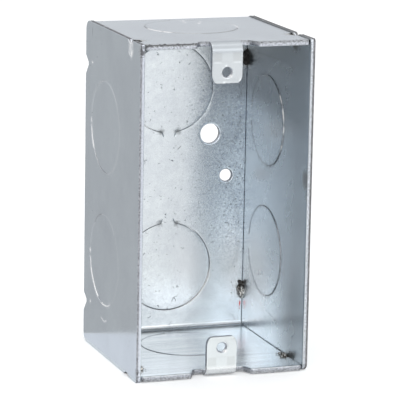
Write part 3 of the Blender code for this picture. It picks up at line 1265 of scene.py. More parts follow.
    def marks(self, flat: Array, solid: Array) -> dict[str, Array]:
        """Marks of this sheet at each point.

        The welds leave soot, the back is grimy on its right, and the ends are brushed across.

        Args:
            flat: Points in the flat sheet.
            solid: The same points in the box.

        Returns:
            Values from 0 to 1 by name.
        """
        soot = []
        for weld in self.welds:
            reach = 3.0 if weld.upright else 2.6
            soot.append(Smudge(weld.centre, 0.85 * WELD_LOOKS[weld.node].smoke, (reach,) * 3).value(solid))
        on_back = eased(solid[:, 1], -4.0, -2.5)
        sideways = eased(solid[:, 0], 1.0, 15.0)
        grime = on_back * sideways * eased(-abs(solid[:, 2] - 6.0), -44.0, -14.0)
        # Painted lighter patch on the back's inner face, standing in for brighter reflections.
        pale = bell(solid[:, 0], 7.5, 5.5) * bell(solid[:, 2], -29.0, 9.0) * self.back_face(solid)
        squares = np.maximum(self.ear_squares(flat), 0.45 * self.ear_crease(flat))
        bottom = eased(-flat[:, 1], self.bend_start, self.bend_end)
        found = super().marks(flat, solid)
        return found | {
            "painted_gleam": np.maximum(found["painted_gleam"], self.gleams(flat, solid)),
            "bare_metal_and_painted_light": 0.40 * pale,
            "soot": np.max(soot, axis=0),
            "haze": self.ear_curl(flat) * (flat[:, 1] > 0),
            "shade": self.shade(flat, solid),
            "grime": np.maximum(grime, 0.14 * on_back),
            "stain": np.maximum(squares, 0.5 * self.tip_crease(flat)),
            "brushed": bottom * (1.0 - eased(-flat[:, 1], self.ear_start - 1.0, self.ear_end)),
            "scuffed": on_back * eased(-solid[:, 0], -12.0, -2.0),
            "dirt": self.dirt(flat, solid),
        }

    def dirt(self, flat: Array, solid: Array) -> Array:
        """Dark smudges at the back's tie ends and along the open front's edge.

        Args:
            flat: Points in the flat sheet.
            solid: The same points in the box.

        Returns:
            Values from 0 to 1.
        """
        spots = [smudge.value(solid) for smudge in STRIP_SMUDGES]
        for knockout in self.knockouts():
            local = (flat - (knockout.x, knockout.y)) @ knockout.turn()
            strength = 0.62 if abs(knockout.y) < self.bend_start else 0.3
            along = bell(local[:, 0], knockout.diameter / 2 - 0.2, 1.3)
            for side in (-1.0, 1.0):
                spots.append(strength * along * bell(local[:, 1], side * (knockout.tie / 2 + 0.5), 1.3))
        rim = bell(solid[:, 1], -self.box.depth, 1.1)
        end = self.box.strip_half_height
        outer = eased(abs(solid[:, 2]), end - 1.0, end - 0.1)
        worst = eased(-solid[:, 0], 7.0, 9.0) * (solid[:, 2] > 0)
        base = np.where(solid[:, 2] > 0, 0.46, 0.30)
        spots.append(rim * outer * (base + 0.34 * worst))
        across, run = abs(flat[:, 0]), abs(flat[:, 1])
        seam = eased(across, self.box.strip_half_width - 0.5, self.box.strip_half_width)
        seam = seam * eased(-run, -self.rim + 4.0, -self.rim + 9.0)
        spots.append(0.55 * seam * eased(run, self.bend_start, self.bend_end))
        return np.max(spots, axis=0)


@dataclass
class SidePlate(SheetPiece):
    """A flat side plate with two knockouts, welded over one long edge of the strip.

    Flat x is the box's depth and flat y its height. The front face points to +X.
    """

    box: BoxSizes
    welds: list[WeldSpot]
    side: int
    name: str
    replaced: tuple[str, ...]
    slot: str = "galvanised_plate"
    back_corner: float = 3.2
    front_corner: float = 0.8
    lower_front_corner: float = 0.8
    knockout_from_back: float = 0.8125 * INCH
    knockout_spacing: float = 1.625 * INCH
    back_notch: Triple = (3.7, 2.4, 3.5)
    end_notch: Triple = (1.0, 4.8, 2.2)

    def __post_init__(self) -> None:
        """Takes the sheet's thickness from the box; both plates are torn on their outer face."""
        self.thickness = self.box.sheet
        self.torn_at_front = self.side > 0

    def knockouts(self) -> list[Knockout]:
        """The plate's two knockouts, with their ties at the back.

        Returns:
            The upper knockout, then the lower one.
        """
        x, y = -self.knockout_from_back, self.knockout_spacing / 2
        if self.side > 0:
            sparkles = ((143.0, 7.0), (163.0, 9.0), (183.0, 5.0), (206.0, 3.0))
            return [
                Knockout(x, y, 0.0, 0.26, slit=0.13, gleams=sparkles, shade_and_grime_width=0.32),
                Knockout(x, -y, 0.0, 0.24, slit=0.13, tilt=-0.3, shade_and_grime_width=0.26),
            ]
        worn = Knockout(x, y, 0.0, 0.24, slit=0.03, tilt=0.8, gleam_thin=0.5, ring=0.20, shade_and_grime_width=0.20)
        lower_gleams = ((-6.0, 15.0), (-26.0, 26.0), (-54.0, 14.0), (-98.0, 24.0))
        lower = replace(worn, y=-y, lean=0.30, tilt=0.7, gleam_width=0.28, gleams=lower_gleams)
        return [
            replace(worn, gleam_width=0.38, gleams=((-9.0, 13.0), (-22.0, 17.0)), dark_arc=(-66.0, 40.0)),
            replace(lower, dark_arc=(60.0, 20.0)),
        ]

    def loops(self) -> list[CutLoop]:
        """Outline with its weld notches, and the knockout slits.

        Returns:
            The cuts, the outline first.
        """
        half = self.box.height / 2
        depth, above, below = self.back_notch
        back = sorted(abs(w.centre[2]) for w in self.welds if w.upright)[0]
        end = [w.centre[1] for w in self.welds if not w.upright][0]
        deep, long, floor = self.end_notch
        notch = ((long, 0.0), (floor, deep), (-floor, deep), (-long, 0.0))
        corners = [(0.0, -half, self.back_corner)]
        for height in (-back, back):
            corners += [
                (0.0, height - below, 0.4),
                (-depth * 0.75, height - 0.4, 0.3),
                (-depth * 0.75, height + 0.5, 0.3),
                (0.0, height + above, 0.4),
            ]
        corners.append((0.0, half, self.back_corner))
        corners += [(end + wide / 2, half - bite, 0.4) for wide, bite in notch]
        corners.append((-self.box.depth, half, self.front_corner))
        corners.append((-self.box.depth, -half, self.lower_front_corner))
        corners += [(end + wide / 2, bite - half, 0.4) for wide, bite in reversed(notch)]
        outline = split_long_edges(round_corners(corners), EDGE_SPACING)
        loops = [CutLoop(self.roughen(outline), Cut.BLANKED, False)]
        return loops + [CutLoop(k.slit_outline(), Cut.KNOCKOUT) for k in self.knockouts()]

    def roughen(self, outline: Array) -> Array:
        """Makes the sheared outline slightly uneven, and ragged at the welds.

        Args:
            outline: Flat points of the clean outline.

        Returns:
            The same points as they are cut.
        """
        solid = self.place(outline, np.zeros(len(outline)))
        near = np.min([np.linalg.norm(solid - w.centre, axis=1) for w in self.welds], axis=0)
        size = 0.02 + 0.16 * bell(near, 0.0, 3.4)
        loop = CutLoop(outline, Cut.SHEARED, False)
        normals = loop.normals()
        return loop.points + normals * (size * (0.3 + ripple(loop.points, 1.0, 6.5)))[:, None]

    def patches(self) -> list[Patch]:
        """Fine mesh round each weld, and on the left plate round its electrode marks.

        Returns:
            The patches.
        """
        found = [Patch(w.centre[1], w.centre[2], 5.0, 5.0) for w in self.welds]
        if self.side < 0:
            found.append(Patch(-46.8, 46.0, 5.0, 5.0, 0.3))
            found.append(Patch(-21.2, -39.4, 3.6, 1.8, 0.3))
            found.append(Patch(-6.9, 38.5, 1.8, 1.2, 0.3))
            found.append(Patch(-7.0, -36.7, 1.5, 1.5, 0.3))
        return found

    def place(self, flat: Array, depth: Array) -> Array:
        """Stands the plate up at its side of the box."""
        middle = self.side * (self.box.width - self.box.sheet) / 2
        return np.stack([middle + depth, flat[:, 0], flat[:, 1]], 1)

    def press(self, flat: Array) -> Array:
        """Slight waviness and flare of the plate, and the lean of each slug into the box.

        Args:
            flat: Flat points.

        Returns:
            How far each point is pushed forward, in millimetres.
        """
        total = super().press(flat) + self.side * self.box.flare(self.side, -flat[:, 0])
        for knockout in self.knockouts():
            total = total - self.side * knockout.offset(flat)
        return total

    def electrode_mark(self, flat: Array) -> Array:
        """The upright groove that a welding electrode pressed under the left plate's top notch.

        Args:
            flat: Flat points.

        Returns:
            Values from 0 to 1.
        """
        middle = -44.9 - 0.1 * (50.0 - flat[:, 1])
        across = abs(flat[:, 0] - middle) / 2.4
        below = np.maximum(47.6 - flat[:, 1], 0.0) / 1.7
        groove = np.clip(1.0 - across**2 - below**2, 0.0, 1.0)
        faint = bell(flat[:, 0], -48.4, 0.7) * bell(flat[:, 1], 43.6, 1.6)
        return np.maximum(np.sqrt(groove), 0.35 * faint)

    @staticmethod
    def polished_and_painted_glints(flat: Array) -> Array:
        """Painted highlights on the left plate's outer face: over the electrode's foot, a short scratch and
        two spatters.

        Args:
            flat: Flat points.

        Returns:
            Values from 0 to 1.
        """
        x, y = flat[:, 0], flat[:, 1]
        foot = eased(y, 45.6, 47.0) * np.exp(-(((x + 44.8) / 2.0) ** 4))
        starts = np.array([(-18.4, -39.2), (-21.6, -39.8)])
        ends = np.array([(-21.6, -39.8), (-23.8, -39.0)])
        gap, _ = distance_to_segments(flat, starts, ends)
        result = np.maximum(0.55 * foot, 0.7 * bell(gap, 0.0, 0.24))
        for across, up, wide, high in (
            (-45.4, 46.9, 0.7, 1.2),
            (-6.9, 38.5, 0.7, 0.35),
            (-7.0, -36.7, 0.5, 0.5),
        ):
            result = np.maximum(result, bell(x, across, wide) * bell(y, up, high))
        return result

    def relief(self, flat: Array, front: bool) -> Array:
        """The electrode's mark in the left plate's outer face."""
        return (0.0 if front or self.side > 0 else 0.14) * self.electrode_mark(flat)

    def marks(self, flat: Array, solid: Array) -> dict[str, Array]:
        """Marks of this plate at each point.

        The welds leave soot on the inner face. On the right plate painted shade dims that face towards the
        front and a painted lighter patch brightens its lower middle; the left plate gets painted highlights
        outside.

        Args:
            flat: Points in the flat sheet.
            solid: The same points in the box.

        Returns:
            Values from 0 to 1 by name.
        """
        middle = self.side * (self.box.width - self.box.sheet) / 2
        inner = eased(-self.side * (solid[:, 0] - middle), -0.2, 0.5)
        outer = 1 - inner
        soot = []
        for weld in self.welds:
            dark_top = self.side > 0 and weld.upright and weld.centre[2] > 0
            reach = (9.0, 4.2, 3.0) if dark_top else (9.0, 2.8, 2.8)
            soot.append(Smudge(weld.centre, 0.9 * WELD_LOOKS[weld.node].smoke, reach).value(solid))
        found = super().marks(flat, solid)
        found |= {
            "soot": np.max(soot, axis=0) * (0.2 + 0.8 * inner),
            "haze": inner,
            "dirt": self.dirt(solid, inner),
        }
        if self.side > 0:
            # Painted lighter patch on the right plate's inner face, standing in for brighter reflections.
            painted_bloom = ((flat[:, 0] + 13.0) / 11.5) ** 2 + ((flat[:, 1] + 30.0) / 13.5) ** 2
            return found | {
                "bare_metal_and_painted_light": 0.85 * np.exp(-(painted_bloom**1.3)) * inner,
                "shade": self.painted_shade(solid) * inner,
            }
        return found | {
            "painted_gleam": np.maximum(found["painted_gleam"], self.polished_and_painted_glints(flat)) * outer,
            "groove": 0.6 * found["groove"],
            "polish": self.electrode_mark(flat) * outer,
        }

    @staticmethod
    def painted_shade(solid: Array) -> Array:
        """Painted shade that dims the right plate's inner face towards the front and the top.

        Args:
            solid: Points in the box.

        Returns:
            Values from 0 to 1.
        """
        forward, height = -solid[:, 1], solid[:, 2]
        low = eased(-height, 12.0, 30.0)
        front = eased((forward - 32.0 - 4.0 * low) / (24.0 - 14.0 * low), -1.0, 1.0)
        front = front * (0.62 + 0.10 * low)
        top = 0.66 * eased(height + 0.12 * forward, 21.0, 31.0) + 0.18 * eased(height, 34.0, 46.0)
        return 1.0 - (1.0 - front * (1.0 - top)) * (1.0 - top)

    def dirt(self, solid: Array, inner: Array) -> Array:
        """Dark smudges on the plate, most of them along its front edge, and a dark line along its top and
        bottom edges.

        Args:
            solid: Points in the box.
            inner: How much each point belongs to the inner face, from 0 to 1.

        Returns:
            Values from 0 to 1.
        """
        # Dark line along the top and bottom edges beside the strip: painted shade of the seam gap on the
        # left plate, a burnt seam on the right one.
        half = self.box.height / 2
        edge = eased(abs(solid[:, 2]), half - 0.35, half - 0.15)
        inward = self.box.width / 2 - abs(solid[:, 0])
        core = eased(inward, 0.05, 0.3) if self.side < 0 else eased(inward, -0.1, 0.3)
        ends = 0.8 * edge * core * eased(-solid[:, 1], 0.0, 4.0)
        if self.side > 0:
            spots = [smudge.value(solid) * inner for smudge in RIGHT_PLATE_SMUDGES]
        else:
            spots = [smudge.value(solid) for smudge in LEFT_PLATE_SMUDGES]
        return np.max([ends, *spots], axis=0)


@dataclass
class WeldLump:
    """Molten beads frozen in one weld pocket, with droplets of spatter beside them."""

    spot: WeldSpot
    seed: int
    look: WeldLook
    box: BoxSizes
    length: float = 4.2
    bead: float = 0.6
    beads: int = 12
    droplets: int = 6

    def filler(self) -> tuple[Array, Array]:
        """Middle and half sizes of the metal that fills the pocket and the plate's notch.

        Returns:
            The middle and the half sizes, in millimetres.
        """
        side, half = self.spot.side, self.box.width / 2
        if self.spot.upright and side > 0:
            return np.array([half - 1.45, -1.55, self.spot.centre[2]]), np.array([1.15, 1.40, 2.8])
        if self.spot.upright:
            return np.array([2.7 - half, -1.55, self.spot.centre[2]]), np.array([1.2, 1.0, 2.2])
        rise = np.sign(self.spot.centre[2]) * (self.box.height / 2 - 1.55)
        semi = np.array([1.3, 2.3, 1.1]) * self.look.fullness
        return np.array([side * (half - 2.5), self.spot.centre[1], rise]), semi

    def skin(
        self, beads: list[tuple[Array, float]], centre: Array, semi: Array, detail: int
    ) -> bmesh.types.BMesh:
        """Outer skin of an egg of metal and several beads, roughened by noise.

        Args:
            beads: Offset from the centre and radius of each bead, in millimetres.
            centre: The point that the skin is pushed out from, in millimetres.
            semi: Half sizes of the egg, in millimetres.
            detail: Subdivisions of the ball that is pushed out.

        Returns:
            A closed mesh in metres.
        """
        lump = bmesh.new()
        bmesh.ops.create_icosphere(lump, subdivisions=detail, radius=1.0)
        for vertex in lump.verts:
            ray = np.array(vertex.co)
            reach = 1.0 / float(np.linalg.norm(ray / semi))
            for offset, radius in beads:
                nearest = float(offset @ ray)
                inside = radius**2 - (float(offset @ offset) - nearest**2)
                if inside > 0:
                    reach = max(reach, nearest + math.sqrt(inside))
            point = centre + ray * reach
            grain = noise.fractal(Vector(point * 2.2) + Vector((self.seed, 0, 0)), 0.9, 2.1, 5)
            vertex.co = Vector((point + ray * min(0.34, 0.5 * reach) * grain) * MM)
        return lump

    def build(self, material: bpy.types.Material) -> bpy.types.Object:
        """Makes the lump and its droplets as one piece.

        Args:
            material: The burnt weld metal.

        Returns:
            The finished object.
        """
        draw = np.random.default_rng(self.seed)
        along = np.array([0.0, 0.0, 1.0]) if self.spot.upright else np.array([0.0, 1.0, 0.0])
        sideways = np.array([float(self.spot.side), 0.0, 0.0])
        inward = self.spot.inward
        centre, semi = self.filler()
        beads = []
        for share in np.linspace(-0.5, 0.5, self.beads):
            offset = along * self.length * share * 0.9 * self.look.stretch
            offset = offset - sideways * draw.uniform(-0.2, self.look.spill) * self.look.fullness
            offset = offset + inward * draw.uniform(0.4, self.look.bulge)
            beads.append((offset, self.bead * draw.uniform(0.5, 1.1) * self.look.fullness))
        lumps = [self.skin(beads, centre, semi, 5)]
        if self.spot.upright and self.spot.side > 0:
            plug = centre + np.array([-0.45, 0.85, 0.0])
            lumps.append(self.skin([], plug, np.array([1.75, 0.90, 2.7]), 4))
        surface = self.spot.centre + inward * 0.85
        for _ in range(self.droplets):
            shift = along * draw.uniform(-3.6, 3.6) - sideways * draw.uniform(1.2, 3.0)
            lumps.append(self.skin([], surface + shift, np.full(3, draw.uniform(0.08, 0.15)), 2))
        mesh = bpy.data.meshes.new(self.spot.node)
        whole = bmesh.new()
        for lump in lumps:
            lump.to_mesh(mesh)
            lump.free()
            whole.from_mesh(mesh)
        whole.to_mesh(mesh)
        whole.free()
        mesh.shade_smooth()
        high = np.array([vertex.co.z for vertex in mesh.vertices]) / MM - self.spot.centre[2]
        burn = np.clip(self.look.burn + self.look.rise * high / self.length * 2.0, 0.0, 1.0)
        layer = mesh.attributes.new("burn", "FLOAT", "POINT")
        layer.data.foreach_set("value", burn.astype(np.float32))
        mesh.materials.append(material)
        return put_in_scene(self.spot.node + "_bead", mesh, (self.spot.node,))


class Wiring:
    """Adds and links shader nodes in one tree."""

    def __init__(self, tree: bpy.types.NodeTree) -> None:
        """Keeps the tree that the nodes go in."""
        self.tree = tree

    def add(
        self, kind: str, inputs: dict[str | int, Any] | None = None, **settings: Any
    ) -> bpy.types.Node:
        """Adds a node, with settings and with inputs that are numbers or other nodes' sockets.

        Args:
            kind: Blender's name of the node type.
            inputs: Values or sockets by input name or index.
            **settings: Properties of the node.

        Returns:
            The new node.
        """
        node = self.tree.nodes.new(kind)
        for key, value in settings.items():
            setattr(node, key, value)
        for key, value in (inputs or {}).items():
            self.feed(value, node.inputs[key])
        return node

    def feed(self, value: Any, target: Socket) -> None:
        """Links a socket to an input, or sets the input to a plain value.

        Args:
            value: A socket, or a number or colour.
            target: The input.
        """
        if isinstance(value, bpy.types.NodeSocket):
            self.tree.links.new(value, target)
        else:
            target.default_value = value

    def group(self, tree: bpy.types.NodeTree, inputs: dict[str, Any]) -> Any:
        """Adds a node group and gives its outputs by name."""
        return self.add("ShaderNodeGroup", inputs, node_tree=tree).outputs

    def mark(self, name: str) -> Socket:
        """Value that the mesh carries under a name."""
        return self.add("ShaderNodeAttribute", attribute_name=name).outputs["Fac"]

    def place(self) -> Socket:
        """Position in the object, in metres."""
        return self.add("ShaderNodeTexCoord").outputs["Object"]

    def math(
        self, operation: str, first: Any, second: Any = 0.0, third: Any = 0.0, clamp: bool = False
    ) -> Socket:
        """Result of one sum on numbers or sockets."""
        inputs = {0: first, 1: second, 2: third}
        return self.add("ShaderNodeMath", inputs, operation=operation, use_clamp=clamp).outputs[0]

    def times(self, first: Any, second: Any) -> Socket:
        """One value times another."""
        return self.math("MULTIPLY", first, second)

    def scaled(self, value: Any, factor: Any, rest: Any) -> Socket:
        """A value times a factor, with the rest added."""
        return self.math("MULTIPLY_ADD", value, factor, rest)

    def centred(self, value: Any) -> Socket:
        """Shifts a value from 0..1 to -0.5..0.5."""
        return self.math("SUBTRACT", value, 0.5)

    def spread(
        self, value: Any, low: float, high: float, to_low: float = 0.0, to_high: float = 1.0
    ) -> Socket:
        """Maps a socket from one range to another with eased ends."""
        inputs = {"Value": value, "From Min": low, "From Max": high, "To Min": to_low, "To Max": to_high}
        return self.add("ShaderNodeMapRange", inputs, interpolation_type="SMOOTHSTEP").outputs[0]

    def blend(self, factor: Any, first: Any, second: Any) -> Socket:
        """Mixes two colours or sockets, by the share of the second."""
        inputs = {0: factor, 6: first, 7: second}
        return self.add("ShaderNodeMix", inputs, data_type="RGBA", clamp_factor=True).outputs[2]

    def tinted(self, colour: Any, mask: Any, strength: float, ink: Colour) -> Socket:
        """Lays an ink over a colour where a mask is, up to a strength."""
        return self.blend(self.times(mask, strength), colour, ink + (1.0,))

    def grain(self, position: Any, size: float, detail: float = 3.0, roughness: float = 0.55) -> Socket:
        """Noise from 0 to 1 with a wavelength in metres."""
        inputs = {"Vector": position, "Scale": 1.0 / size, "Detail": detail, "Roughness": roughness}
        return self.add("ShaderNodeTexNoise", inputs).outputs["Fac"]

    def bump(self, height: Any, strength: float, distance: float) -> Socket:
        """Normal of a face that a height in metres makes uneven."""
        inputs = {"Height": height, "Strength": strength, "Distance": distance}
        return self.add("ShaderNodeBump", inputs).outputs["Normal"]


def new_group(
    name: str, vectors: tuple[str, ...], values: tuple[str, ...], outputs: tuple[str, ...]
) -> tuple[Wiring, Any, Any]:
    """Starts a shader node group with named sockets.

    Args:
        name: The group's name.
        vectors: Names of its inputs that are vectors.
        values: Names of its inputs that are numbers.
        outputs: Names of its outputs, which are numbers.

    Returns:
        The group's wiring, its inputs' sockets and its output node's sockets.
    """
    tree = bpy.data.node_groups.new(name, "ShaderNodeTree")
    for keys, way, kind in (
        (vectors, "INPUT", "NodeSocketVector"),
        (values, "INPUT", "NodeSocketFloat"),
        (outputs, "OUTPUT", "NodeSocketFloat"),
    ):
        for key in keys:
            tree.interface.new_socket(name=key, in_out=way, socket_type=kind)
    net = Wiring(tree)
    start = net.add("NodeGroupInput")
    end = net.add("NodeGroupOutput")
    return net, start.outputs, end.inputs


def new_material(name: str) -> tuple[bpy.types.Material, Wiring, Any]:
    """Starts a material.

    Args:
        name: The material's name.

    Returns:
        The material, its wiring and the inputs of its Principled shader.
    """
    material = bpy.data.materials.new(name)
    material.use_nodes = True
    shader = material.node_tree.nodes["Principled BSDF"]
    return material, Wiring(material.node_tree), shader.inputs


class ZincEffects:
    """Shared shader groups of the box: zinc coat, grime, soot, scratches and cut edges."""

    def __init__(self) -> None:
        """Builds every group once."""
        self.zinc = self.build_zinc()
        self.soot = self.build_soot()
        self.scratch = self.build_scratch()

    @staticmethod
    def build_zinc() -> bpy.types.NodeTree:
        """Cloudy zinc coat with a fine mottle, rolling streaks and dark specks.

        Returns:
            The node group.
        """
        net, start, end = new_group(
            "zinc_coat",
            ("Position", "Rolled Position"),
            ("Grime", "Brushed", "Scuffed"),
            ("Tone", "Roughness", "Specks", "Height"),
        )
        place, grime = start["Position"], start["Grime"]
        clouds = net.centred(net.grain(place, 0.016, 4.0))
        mottle = net.centred(net.grain(place, 0.0024, 5.0, 0.7))
        fine = net.centred(net.grain(place, 0.00055, 3.0, 0.75))
        streaks = net.centred(net.grain(start["Rolled Position"], 0.0016, 5.0, 0.7))
        tone = net.times(clouds, 0.45)
        mottled = net.scaled(start["Scuffed"], 0.5, net.scaled(grime, 0.9, 0.08))
        tone = net.scaled(mottle, mottled, tone)
        tone = net.scaled(fine, net.scaled(grime, 3.4, 0.05), tone)
        tone = net.scaled(streaks, net.scaled(start["Brushed"], 1.3, 0.02), tone)
        cells = net.add("ShaderNodeTexVoronoi", {"Vector": place, "Scale": 1.0 / 0.0009})
        chance = net.add("ShaderNodeSeparateColor", {0: cells.outputs["Color"]})
        size = net.scaled(chance.outputs[1], 0.13, 0.11)
        away = net.math("DIVIDE", cells.outputs["Distance"], size)
        dots = net.spread(away, 0.6, 1.2, 1.0, 0.0)
        patchy = net.spread(net.grain(place, 0.006, 3.0), 0.30, 0.65, 0.25, 1.0)
        patches = net.times(grime, patchy)
        shown = net.math("LESS_THAN", chance.outputs[0], net.scaled(patches, 0.85, 0.007))
        specks = net.times(dots, shown)
        pits = net.spread(net.grain(place, 0.00075, 2.0, 0.6), 0.58, 0.68)
        pits = net.times(pits, patches)
        specks = net.math("MAXIMUM", specks, net.times(pits, 0.7))
        ridge = net.math("ABSOLUTE", net.centred(net.grain(place, 0.0032, 2.0, 0.5)))
        hair = net.spread(ridge, 0.006, 0.022, 1.0, 0.0)
        gate = net.spread(net.grain(place, 0.0017, 2.0), 0.58, 0.66)
        hairs = net.times(hair, net.times(gate, start["Scuffed"]))
        specks = net.math("MAXIMUM", specks, net.times(hairs, 0.8))
        rough = net.times(clouds, 0.06)
        rough = net.scaled(streaks, net.times(start["Brushed"], 0.12), rough)
        rough = net.scaled(specks, 0.2, rough)
        height = net.times(mottle, 0.5)
        height = net.scaled(streaks, net.scaled(start["Brushed"], 0.8, 0.03), height)
        height = net.math("SUBTRACT", height, net.times(specks, 0.15))
        for key, value in (("Tone", tone), ("Roughness", rough), ("Specks", specks), ("Height", height)):
            net.feed(value, end[key])
        return net.tree

    @staticmethod
    def build_soot() -> bpy.types.NodeTree:
        """Smoky burn round a weld: a painted amount broken up by noise.

        Returns:
            The node group.
        """
        net, start, end = new_group("weld_soot", ("Position",), ("Amount",), ("Mask", "Core"))
        smoke = net.centred(net.grain(start["Position"], 0.0013, 5.0, 0.7))
        ragged = net.scaled(smoke, 0.9, start["Amount"])
        gate = net.spread(start["Amount"], 0.02, 0.2)
        for key, low, high in (("Mask", 0.15, 0.75), ("Core", 0.75, 1.25)):
            net.feed(net.times(net.spread(ragged, low, high), gate), end[key])
        return net.tree

    @staticmethod
    def build_scratch() -> bpy.types.NodeTree:
        """One fine scratch between two points of the box.

        Returns:
            The node group.
        """
        net, start, end = new_group("fine_scratch", ("Position", "Start", "End"), ("Width",), ("Mask",))

        def vector(operation: str, first: Any, second: Any, output: int = 0) -> Socket:
            """Result of one sum on two vectors."""
            node = net.add("ShaderNodeVectorMath", {0: first, 1: second}, operation=operation)
            return node.outputs[output]

        reach = vector("SUBTRACT", start["End"], start["Start"])
        here = vector("SUBTRACT", start["Position"], start["Start"])
        along, whole = vector("DOT_PRODUCT", here, reach, 1), vector("DOT_PRODUCT", reach, reach, 1)
        share = net.math("DIVIDE", along, whole, clamp=True)
        inputs = {0: reach, "Scale": share}
        nearest = net.add("ShaderNodeVectorMath", inputs, operation="SCALE").outputs[0]
        gap = vector("DISTANCE", here, nearest, 1)
        line = net.spread(net.math("DIVIDE", gap, start["Width"]), 0.3, 1.0, 1.0, 0.0)
        broken = net.spread(net.grain(start["Position"], 0.0012, 3.0), 0.35, 0.6)
        net.feed(net.times(line, broken), end["Mask"])
        return net.tree


@dataclass(frozen=True)
class Scratch:
    """A fine line scored in one sheet, between two points in millimetres."""

    start: Triple
    end: Triple
    width: float = 0.16
    strength: float = 0.5
    ink: Colour = (0.10, 0.11, 0.12)


@dataclass(frozen=True)
class ZincFinish:
    """Galvanised face of one sheet."""

    name: str
    colour: Colour
    roughness: float
    roll_axis: int
    tone_swing: float = 0.28
    bump: float = 0.12
    inner_haze: float = 0.12
    scratches: tuple[Scratch, ...] = ()

    def material(self, effects: ZincEffects) -> bpy.types.Material:
        """Builds the material.

        Args:
            effects: The shared shader groups.

        Returns:
            The finished material.
        """
        material, net, inputs = new_material(self.name)
        place = net.place()
        stretch = [1.0, 1.0, 1.0]
        stretch[self.roll_axis] = 0.035
        rolling = {"Vector": place, "Scale": stretch}
        rolled = net.add("ShaderNodeMapping", rolling, vector_type="POINT").outputs[0]
        names = ("soot", "grime", "stain", "polish", "haze", "brushed", "scuffed", "shade", "dirt")
        names += ("bare_metal_and_painted_light", "painted_gleam", "groove")
        marks = {key: net.mark(key) for key in names}
        zinc = net.group(
            effects.zinc,
            {
                "Position": place,
                "Rolled Position": rolled,
                **{key.title(): marks[key] for key in ("grime", "brushed", "scuffed")},
            },
        )
        soot = net.group(effects.soot, {"Position": place, "Amount": marks["soot"]})
        grimy = net.group(effects.soot, {"Position": place, "Amount": marks["dirt"]})
        light = tuple(min(1.0, c * (1 + self.tone_swing)) for c in self.colour) + (1.0,)
        dark = tuple(c * (1 - self.tone_swing) for c in self.colour) + (1.0,)
        colour = net.blend(net.math("ADD", zinc["Tone"], 0.5, clamp=True), dark, light)
        bluish = net.math("MAXIMUM", marks["grime"], net.times(marks["haze"], 0.6))
        for mask, strength, ink in (
            (bluish, 0.22, (0.56, 0.68, 0.84)),
            # painted shade, where the shade mark is
            (marks["shade"], 0.85, (0.05, 0.055, 0.06)),
            (zinc["Specks"], 0.85, (0.08, 0.10, 0.12)),
            (marks["stain"], 0.28, (0.44, 0.45, 0.45)),
            (soot["Mask"], 0.55, (0.36, 0.33, 0.27)),
            (grimy["Mask"], 0.65, (0.10, 0.10, 0.10)),
            (soot["Core"], 1.0, (0.02, 0.018, 0.016)),
        ):
            colour = net.tinted(colour, mask, strength, ink)
        for scratch in self.scratches:
            line = net.group(
                effects.scratch,
                {
                    "Position": place,
                    "Start": [c * MM for c in scratch.start],
                    "End": [c * MM for c in scratch.end],
                    "Width": scratch.width * MM,
                },
            )
            colour = net.tinted(colour, line["Mask"], scratch.strength, scratch.ink)
        # Painted lighter patches, standing in for brighter reflections.
        colour = net.tinted(colour, marks["bare_metal_and_painted_light"], 1.0, (0.96, 0.97, 1.0))
        # Painted shade along the knockout slits with their grime, then painted highlights in white.
        broken = net.spread(net.grain(place, 0.0011, 3.0), 0.30, 0.55)
        groove = net.times(marks["groove"], net.scaled(broken, 0.35, 0.38))
        painted_gleam = net.times(marks["painted_gleam"], net.scaled(broken, 0.35, 0.65))
        colour = net.tinted(colour, groove, 1.0, (0.12, 0.13, 0.14))
        colour = net.tinted(colour, painted_gleam, 1.0, WHITE)
        rough = net.math("ADD", zinc["Roughness"], self.roughness)
        for mask, change in (
            (soot["Mask"], 0.25),
            (marks["haze"], self.inner_haze),
            (grimy["Mask"], 0.2),
            (marks["polish"], -0.05),
        ):
            rough = net.scaled(mask, change, rough)
        metallic = net.scaled(soot["Core"], -0.8, 1.0)
        metallic = net.math("SUBTRACT", metallic, painted_gleam, clamp=True)
        dulled = net.times(grimy["Mask"], 0.6)
        metallic = net.math("SUBTRACT", metallic, dulled, clamp=True)
        net.feed(colour, inputs["Base Color"])
        net.feed(net.math("MAXIMUM", rough, 0.08, clamp=True), inputs["Roughness"])
        net.feed(metallic, inputs["Metallic"])
        net.feed(net.bump(zinc["Height"], self.bump, 0.0002), inputs["Normal"])
        return material


